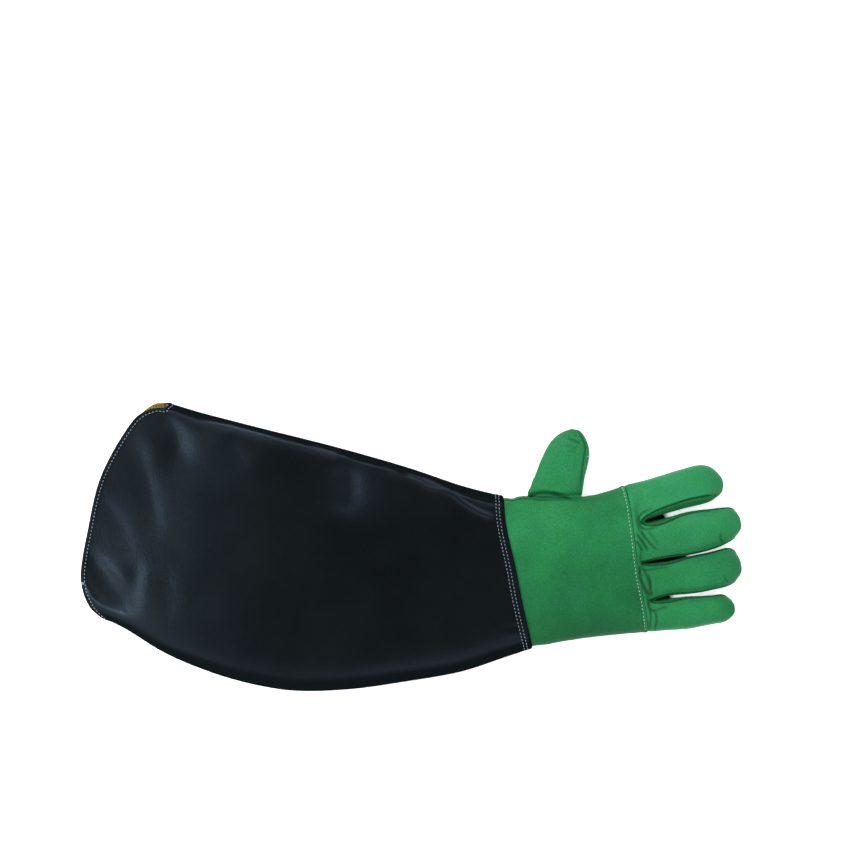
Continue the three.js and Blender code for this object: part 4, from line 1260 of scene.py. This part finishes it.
def wall_piece(name, chosen, points, normals, fields):
    """One piece as a closed wall: outer face, inner face and a rim drawn back from the seams."""
    used, quads = np.unique(chosen, return_inverse=True)
    quads = quads.reshape(-1, 4)
    outer, out = points[used], normals[used]
    directed = {(a, b) for quad in quads.tolist() for a, b in zip(quad, quad[1:] + quad[:1])}
    rim = [(a, b) for a, b in directed if (b, a) not in directed]
    at_rim = np.unique(rim)
    centres = outer[quads].mean(axis=1)
    pull = np.zeros_like(outer)
    for k in range(4):
        np.add.at(pull, quads[:, k], centres - outer[quads[:, k]])
    pull -= out * (pull * out).sum(axis=1, keepdims=True)
    outer[at_rim] += unit(pull[at_rim]) * SEAM_GAP / 2
    outer[:, 2] = np.maximum(outer[:, 2], 0)
    count = len(outer)
    faces = quads.tolist() + (quads[:, ::-1] + count).tolist()
    faces += [(b, a, a + count, b + count) for a, b in rim]
    both = np.concatenate([outer, outer - out * LEATHER_WALL])
    fields = {key: np.tile(values[used], 2) for key, values in fields.items()}
    add_piece(name + "_leather", both, faces, LEATHER, [name], fields)
    return outer, quads


def leather_tone_and_shade(name, y):
    """How light a piece is, with painted shade on some fourchettes. The upper pieces darken towards the
    little finger's side.
    """
    start, end, fall = TONE_FALLS.get(name, (0, 1, 0))
    return TONES_AND_PAINTED_SHADE[name] - fall * smoothstep(start, end, y)


def build_hand(sleeve):
    fine = smooth_skin(hand_skin(sleeve))
    quads, edges = fine["quads"], fine["edges"]
    points = relaxed(fine["points"], edges)
    tips = from_tips(points)
    weight = 1 - smoothstep(*TIP_SOFTNESS["fade"], tips)
    points = ruffled(relaxed(points, edges, weight[:, None], TIP_SOFTNESS["rounds"], (0.5,)))
    normals = quad_normals(points, quads)
    distances = seam_distances(fine, points, tips)
    shared, dark = crease_relief(points, normals)
    shared += uneven(points, HAND_UNEVEN) * smoothstep(*UNEVEN_HEIGHTS, points[:, 2])
    # Painted shade in the grooves of the seams, as in the creases
    for kind, seam in SEAMS.items():
        dark = np.maximum(dark, seam[-1] * bell(distances[kind], SEAM_SHADE_WIDTH))
    # The raw edge is lighter, partly its own colour and partly a painted highlight
    raw_and_highlight = RAW_EDGE_AND_HIGHLIGHT["light"] * bell(distances["knuckle"], RAW_EDGE_AND_HIGHLIGHT["width"])
    outers = {}
    for k, name in enumerate(PIECES):
        relief = shared + seam_relief(name, distances)
        moved = points + normals * relief[:, None]
        fields = {"painted_shade": dark, "tone_and_painted_shade": leather_tone_and_shade(name, points[:, 1]),
                  "raw_edge_and_highlight": raw_and_highlight * name.startswith("hand")}
        outers[name] = wall_piece(
            name, quads[fine["piece"] == k], moved, quad_normals(moved, quads), fields)
    return outers


# Eyelet and its washer

def bow(inner, outer, level, height, start, end, steps):
    """A round stretch of a profile between two radii, from start to end in degrees."""
    angles = np.radians(np.linspace(start, end, steps))
    middle, half = (inner + outer) / 2, (outer - inner) / 2
    return [(middle + half * math.cos(a), level + height * math.sin(a)) for a in angles]


def lathe(name, profile, node):
    """A ring turned round the eyelet's axis, from a closed profile of (radius, height)."""
    angles = np.arange(EYELET["sides"]) / EYELET["sides"] * 2 * math.pi
    radius, height = np.array(profile).T
    x = EYELET["x"] + np.outer(np.cos(angles), radius)
    y = EYELET["y"] + np.outer(np.sin(angles), radius)
    points = np.stack([x, y, np.broadcast_to(height, x.shape)], -1).reshape(-1, 3)
    quads = turned_over(grid_quads(EYELET["sides"] + 1, len(profile))) % len(points)
    add_piece(name, points, quads.tolist(), BRASS, [node])


def build_eyelet():
    e = EYELET
    hole, flange, barrel = e["hole"], e["flange"], e["barrel"]
    washer_floor = MOUTH_LIFT + SLEEVE_WALL + LINING_WALL + 2 * LAYER_GAP
    rolled_floor = washer_floor + e["washer_thickness"] + LAYER_GAP
    half = e["flange_thickness"] / 2
    profile = bow(hole, flange, half, half, 180, 360, 13)
    profile += bow(flange - 2 * e["flange_edge"], flange, half, half, 30, 90, 3)
    profile += [(barrel, e["flange_thickness"]), (barrel, rolled_floor)]
    profile += bow(hole, e["rolled"], rolled_floor + e["rolled_edge"],
                   e["rolled_thickness"] - e["rolled_edge"], 0, 180, 9)
    lathe("eyelet_brass", profile, "eyelet")
    washer = bow(e["cut"], e["washer"], washer_floor, e["washer_thickness"], 0, 180, 9)
    lathe("washer_brass", washer, "eyelet_washer")


# Stitches

def stitch_mesh(centres, tangents, normals, length, radius):
    """Separate stitches as one mesh: each dips into the surface at both ends."""
    rings, sides = STITCH["rings"], STITCH["sides"]
    share = np.linspace(-1, 1, rings + 2)[:, None]
    angles = (np.arange(sides) / sides * 2 * math.pi)[:, None]
    line = (centres[:, None] + tangents[:, None] * share * length / 2
            + normals[:, None] * radius * (STITCH["rise"] - STITCH["dip"] * share ** 2))
    across = np.cross(tangents, normals)
    spokes = across[:, None] * np.cos(angles) + normals[:, None] * np.sin(angles)
    size = radius * np.sqrt(np.maximum(0, 1 - share ** 4))
    tube = line[:, 1:-1, None] + spokes[:, None] * size[1:-1, None]
    points = np.concatenate([tube.reshape(len(centres), -1, 3), line[:, [0, -1]]], axis=1)
    count = rings * sides
    pattern = turned_over(grid_quads(rings, sides)).tolist()
    for a in range(sides):
        b = (a + 1) % sides
        pattern += [(count, a, b), (count + 1, count - sides + b, count - sides + a)]
    faces = [[corner + i * (count + 2) for corner in face]
             for i in range(len(centres)) for face in pattern]
    return points.reshape(-1, 3), faces


def stitches_along(path, normals):
    """Stitch centres, directions and normals at an even pitch along a path."""
    steps = np.linalg.norm(np.diff(path, axis=0), axis=1)
    run = np.concatenate([[0], np.cumsum(steps)])
    count = max(1, int(run[-1] / STITCH["pitch"]))
    at = (np.arange(count) + 0.5) * run[-1] / count

    def sample(values, where):
        return np.stack([np.interp(where, run, values[:, k]) for k in range(3)], -1)

    tangents = unit(sample(path, at + STITCH["ahead"]) - sample(path, at - STITCH["ahead"]))
    up = sample(normals, at)
    up = unit(up - tangents * (up * tangents).sum(axis=1, keepdims=True))
    return sample(path, at), tangents, up


def add_stitches(name, rows, material, length=STITCH["length"], radius=STITCH["radius"]):
    """One piece from rows of stitches, each with centres, directions and normals."""
    joined = (np.concatenate(parts) for parts in zip(*rows))
    points, faces = stitch_mesh(*joined, length, radius)
    add_piece(name, points, faces, material)


def ring_path(sleeve, field, distance):
    """The line round the sleeve at one distance from its mouth or its cuff."""
    values, outer = sleeve[field], sleeve["outer"]
    surface = np.concatenate([outer, quad_normals(outer, grid_quads(*values.shape))], -1)
    path = []
    for j, column in enumerate(values.T):
        order = slice(None) if column[0] < column[-1] else slice(None, None, -1)
        path.append([np.interp(distance, column[order], surface[order, j, k]) for k in range(6)])
    path = np.array(path + path[:1])
    return path[:, :3], unit(path[:, 3:])


def on_surface(xy, outer, quads, way):
    """Points of a leather piece where rays meet it, down (-1) or up (1), with their normals."""
    tree = BVHTree.FromPolygons(outer.tolist(), quads.tolist())
    path, normals = [], []
    for x, y in xy.tolist():
        hit, normal, _, _ = tree.ray_cast(Vector((x, y, -way * RAY_START)), Vector((0, 0, way)))
        if hit is not None:
            path.append(hit)
            normals.append(normal)
    return np.array(path), np.array(normals)


def build_stitches(sleeve, outers):
    for name, field, edge in (("hem_stitches", "mouth", HEM), ("cuff_stitches", "cuff", CUFF)):
        rows = [stitches_along(*ring_path(sleeve, field, row)) for row in edge["rows"]]
        add_stitches(name, rows, SLEEVE_THREAD)
    seam = PlanCurve(KNUCKLE_SEAM).at(np.linspace(*KNUCKLE_LAP["sewn"]))
    seam = seam - np.array((KNUCKLE_LAP["stitch"], 0))
    for name, piece, way in (("knuckle_stitches", "hand_back", -1), ("palm_stitches", "hand_palm", 1)):
        row = stitches_along(*on_surface(seam, *outers[piece], way))
        add_stitches(name, [row], LEATHER_THREAD)
    build_loose_ends(sleeve, outers)


def build_loose_ends(sleeve, outers):
    """The stitch that closes the thumb's seam, and the tangle where the hem's stitching ends."""
    stitch = THUMB_STITCH
    middle = np.array([(stitch["x"], stitch["y"])])
    centre, normal = on_surface(middle, *outers["thumb"], -1)
    way = unit(np.array([(1, 0, stitch["slope"])]))
    add_stitches("thumb_stitch", [(centre + normal * stitch["above"], way, normal)], LEATHER_THREAD,
                 stitch["length"], stitch["radius"])
    outer = sleeve["outer"].reshape(-1, 3)
    away = plan_distance(outer, KNOT["x"], KNOT["y"])
    away[outer[:, 2] < KNOT["from_height"]] += KNOT["far"]
    angles = np.radians(KNOT["turns"])
    tangle = np.stack([np.sin(3 * angles), np.cos(2 * angles), np.ones_like(angles)], -1)
    tangents = np.stack([np.cos(angles), np.sin(angles), 0 * angles], -1)
    up = np.tile((0.0, 0.0, 1.0), (len(angles), 1))
    row = outer[away.argmin()] + KNOT["spread"] * tangle, tangents, up
    add_stitches("thread_knot", [row], SLEEVE_THREAD, KNOT["length"], KNOT["radius"])


# Floor, lights and camera

def build_floor():
    half, z = FLOOR["half_size"], -FLOOR["below"]
    mesh = bpy.data.meshes.new("floor")
    corners = [(-half, -half, z), (half, -half, z), (half, half, z), (-half, half, z)]
    mesh.from_pydata(corners, [], [(0, 1, 2, 3)])
    floor = in_scene("floor", mesh)
    nodes = Nodes("white_floor")
    lit = 1.0
    for web in WEBS.values():
        half = web["shadow"] / 2
        middle = (OFFSET + (web["x"] + half, web["y"], 0)) * MM
        away = nodes.node("ShaderNodeVectorMath", {0: nodes.place, 1: middle.tolist()},
                          operation="DISTANCE").outputs["Value"]
        start, end = ((half + edge) * MM for edge in FLOOR["edge"])
        lit = nodes.math("MULTIPLY", nodes.span(away, 0, 1, Min=start, Max=end), lit)
    mesh.materials.append(nodes.finished(
        Base_Color=nodes.mix(lit, FLOOR["shadow"], FLOOR["white"]), Roughness=0.9,
        Specular_IOR_Level=0.1, Emission_Color=(1, 1, 1, 1),
        Emission_Strength=nodes.math("MULTIPLY", lit, FLOOR["glow"])))


def softbox(name, place, aim, size, power):
    """A square soft light that faces a point."""
    data = bpy.data.lights.new(name, "AREA")
    data.shape = "SQUARE"
    data.size = size
    data.energy = power
    light = in_scene(name, data)
    light.location = place
    light.rotation_euler = (Vector(place) - Vector(aim)).to_track_quat("Z", "Y").to_euler()


def build_lights():
    rise = math.radians(LIGHT_RING["elevation"])
    for name, (azimuth, power) in LIGHTS.items():
        turn = math.radians(azimuth)
        way = Vector((math.cos(rise) * math.cos(turn), math.cos(rise) * math.sin(turn), math.sin(rise)))
        softbox(name, way * LIGHT_RING["distance"], (0, 0, 0), LIGHT_RING["size"], power)
    softbox("mouth", **MOUTH_LIGHT)
    world = bpy.data.worlds.new("studio")
    world.use_nodes = True
    background = world.node_tree.nodes["Background"]
    background.inputs["Color"].default_value = (1, 1, 1, 1)
    background.inputs["Strength"].default_value = WORLD_STRENGTH
    bpy.context.scene.world = world


def build_camera():
    """Straight above, with the glove on the photograph's own pixels."""
    middle = PHOTO_PIXELS / 2
    x = (middle - PHOTO_ORIGIN[0]) * PIXEL_SIZE + OFFSET[0]
    y = (PHOTO_ORIGIN[1] - middle) * PIXEL_SIZE + OFFSET[1]
    data = bpy.data.cameras.new("camera")
    data.lens = data.sensor_width * (CAMERA_HEIGHT - OUTLINE_HEIGHT) / (PHOTO_PIXELS * PIXEL_SIZE)
    camera = in_scene("camera", data)
    camera.location = (x * MM, y * MM, CAMERA_HEIGHT * MM)
    bpy.context.scene.camera = camera


build_camera()
sleeve = build_sleeve()
build_lining(sleeve)
outers = build_hand(sleeve)
build_eyelet()
build_stitches(sleeve, outers)
build_floor()
build_lights()
bpy.context.scene.view_settings.view_transform = "Standard"
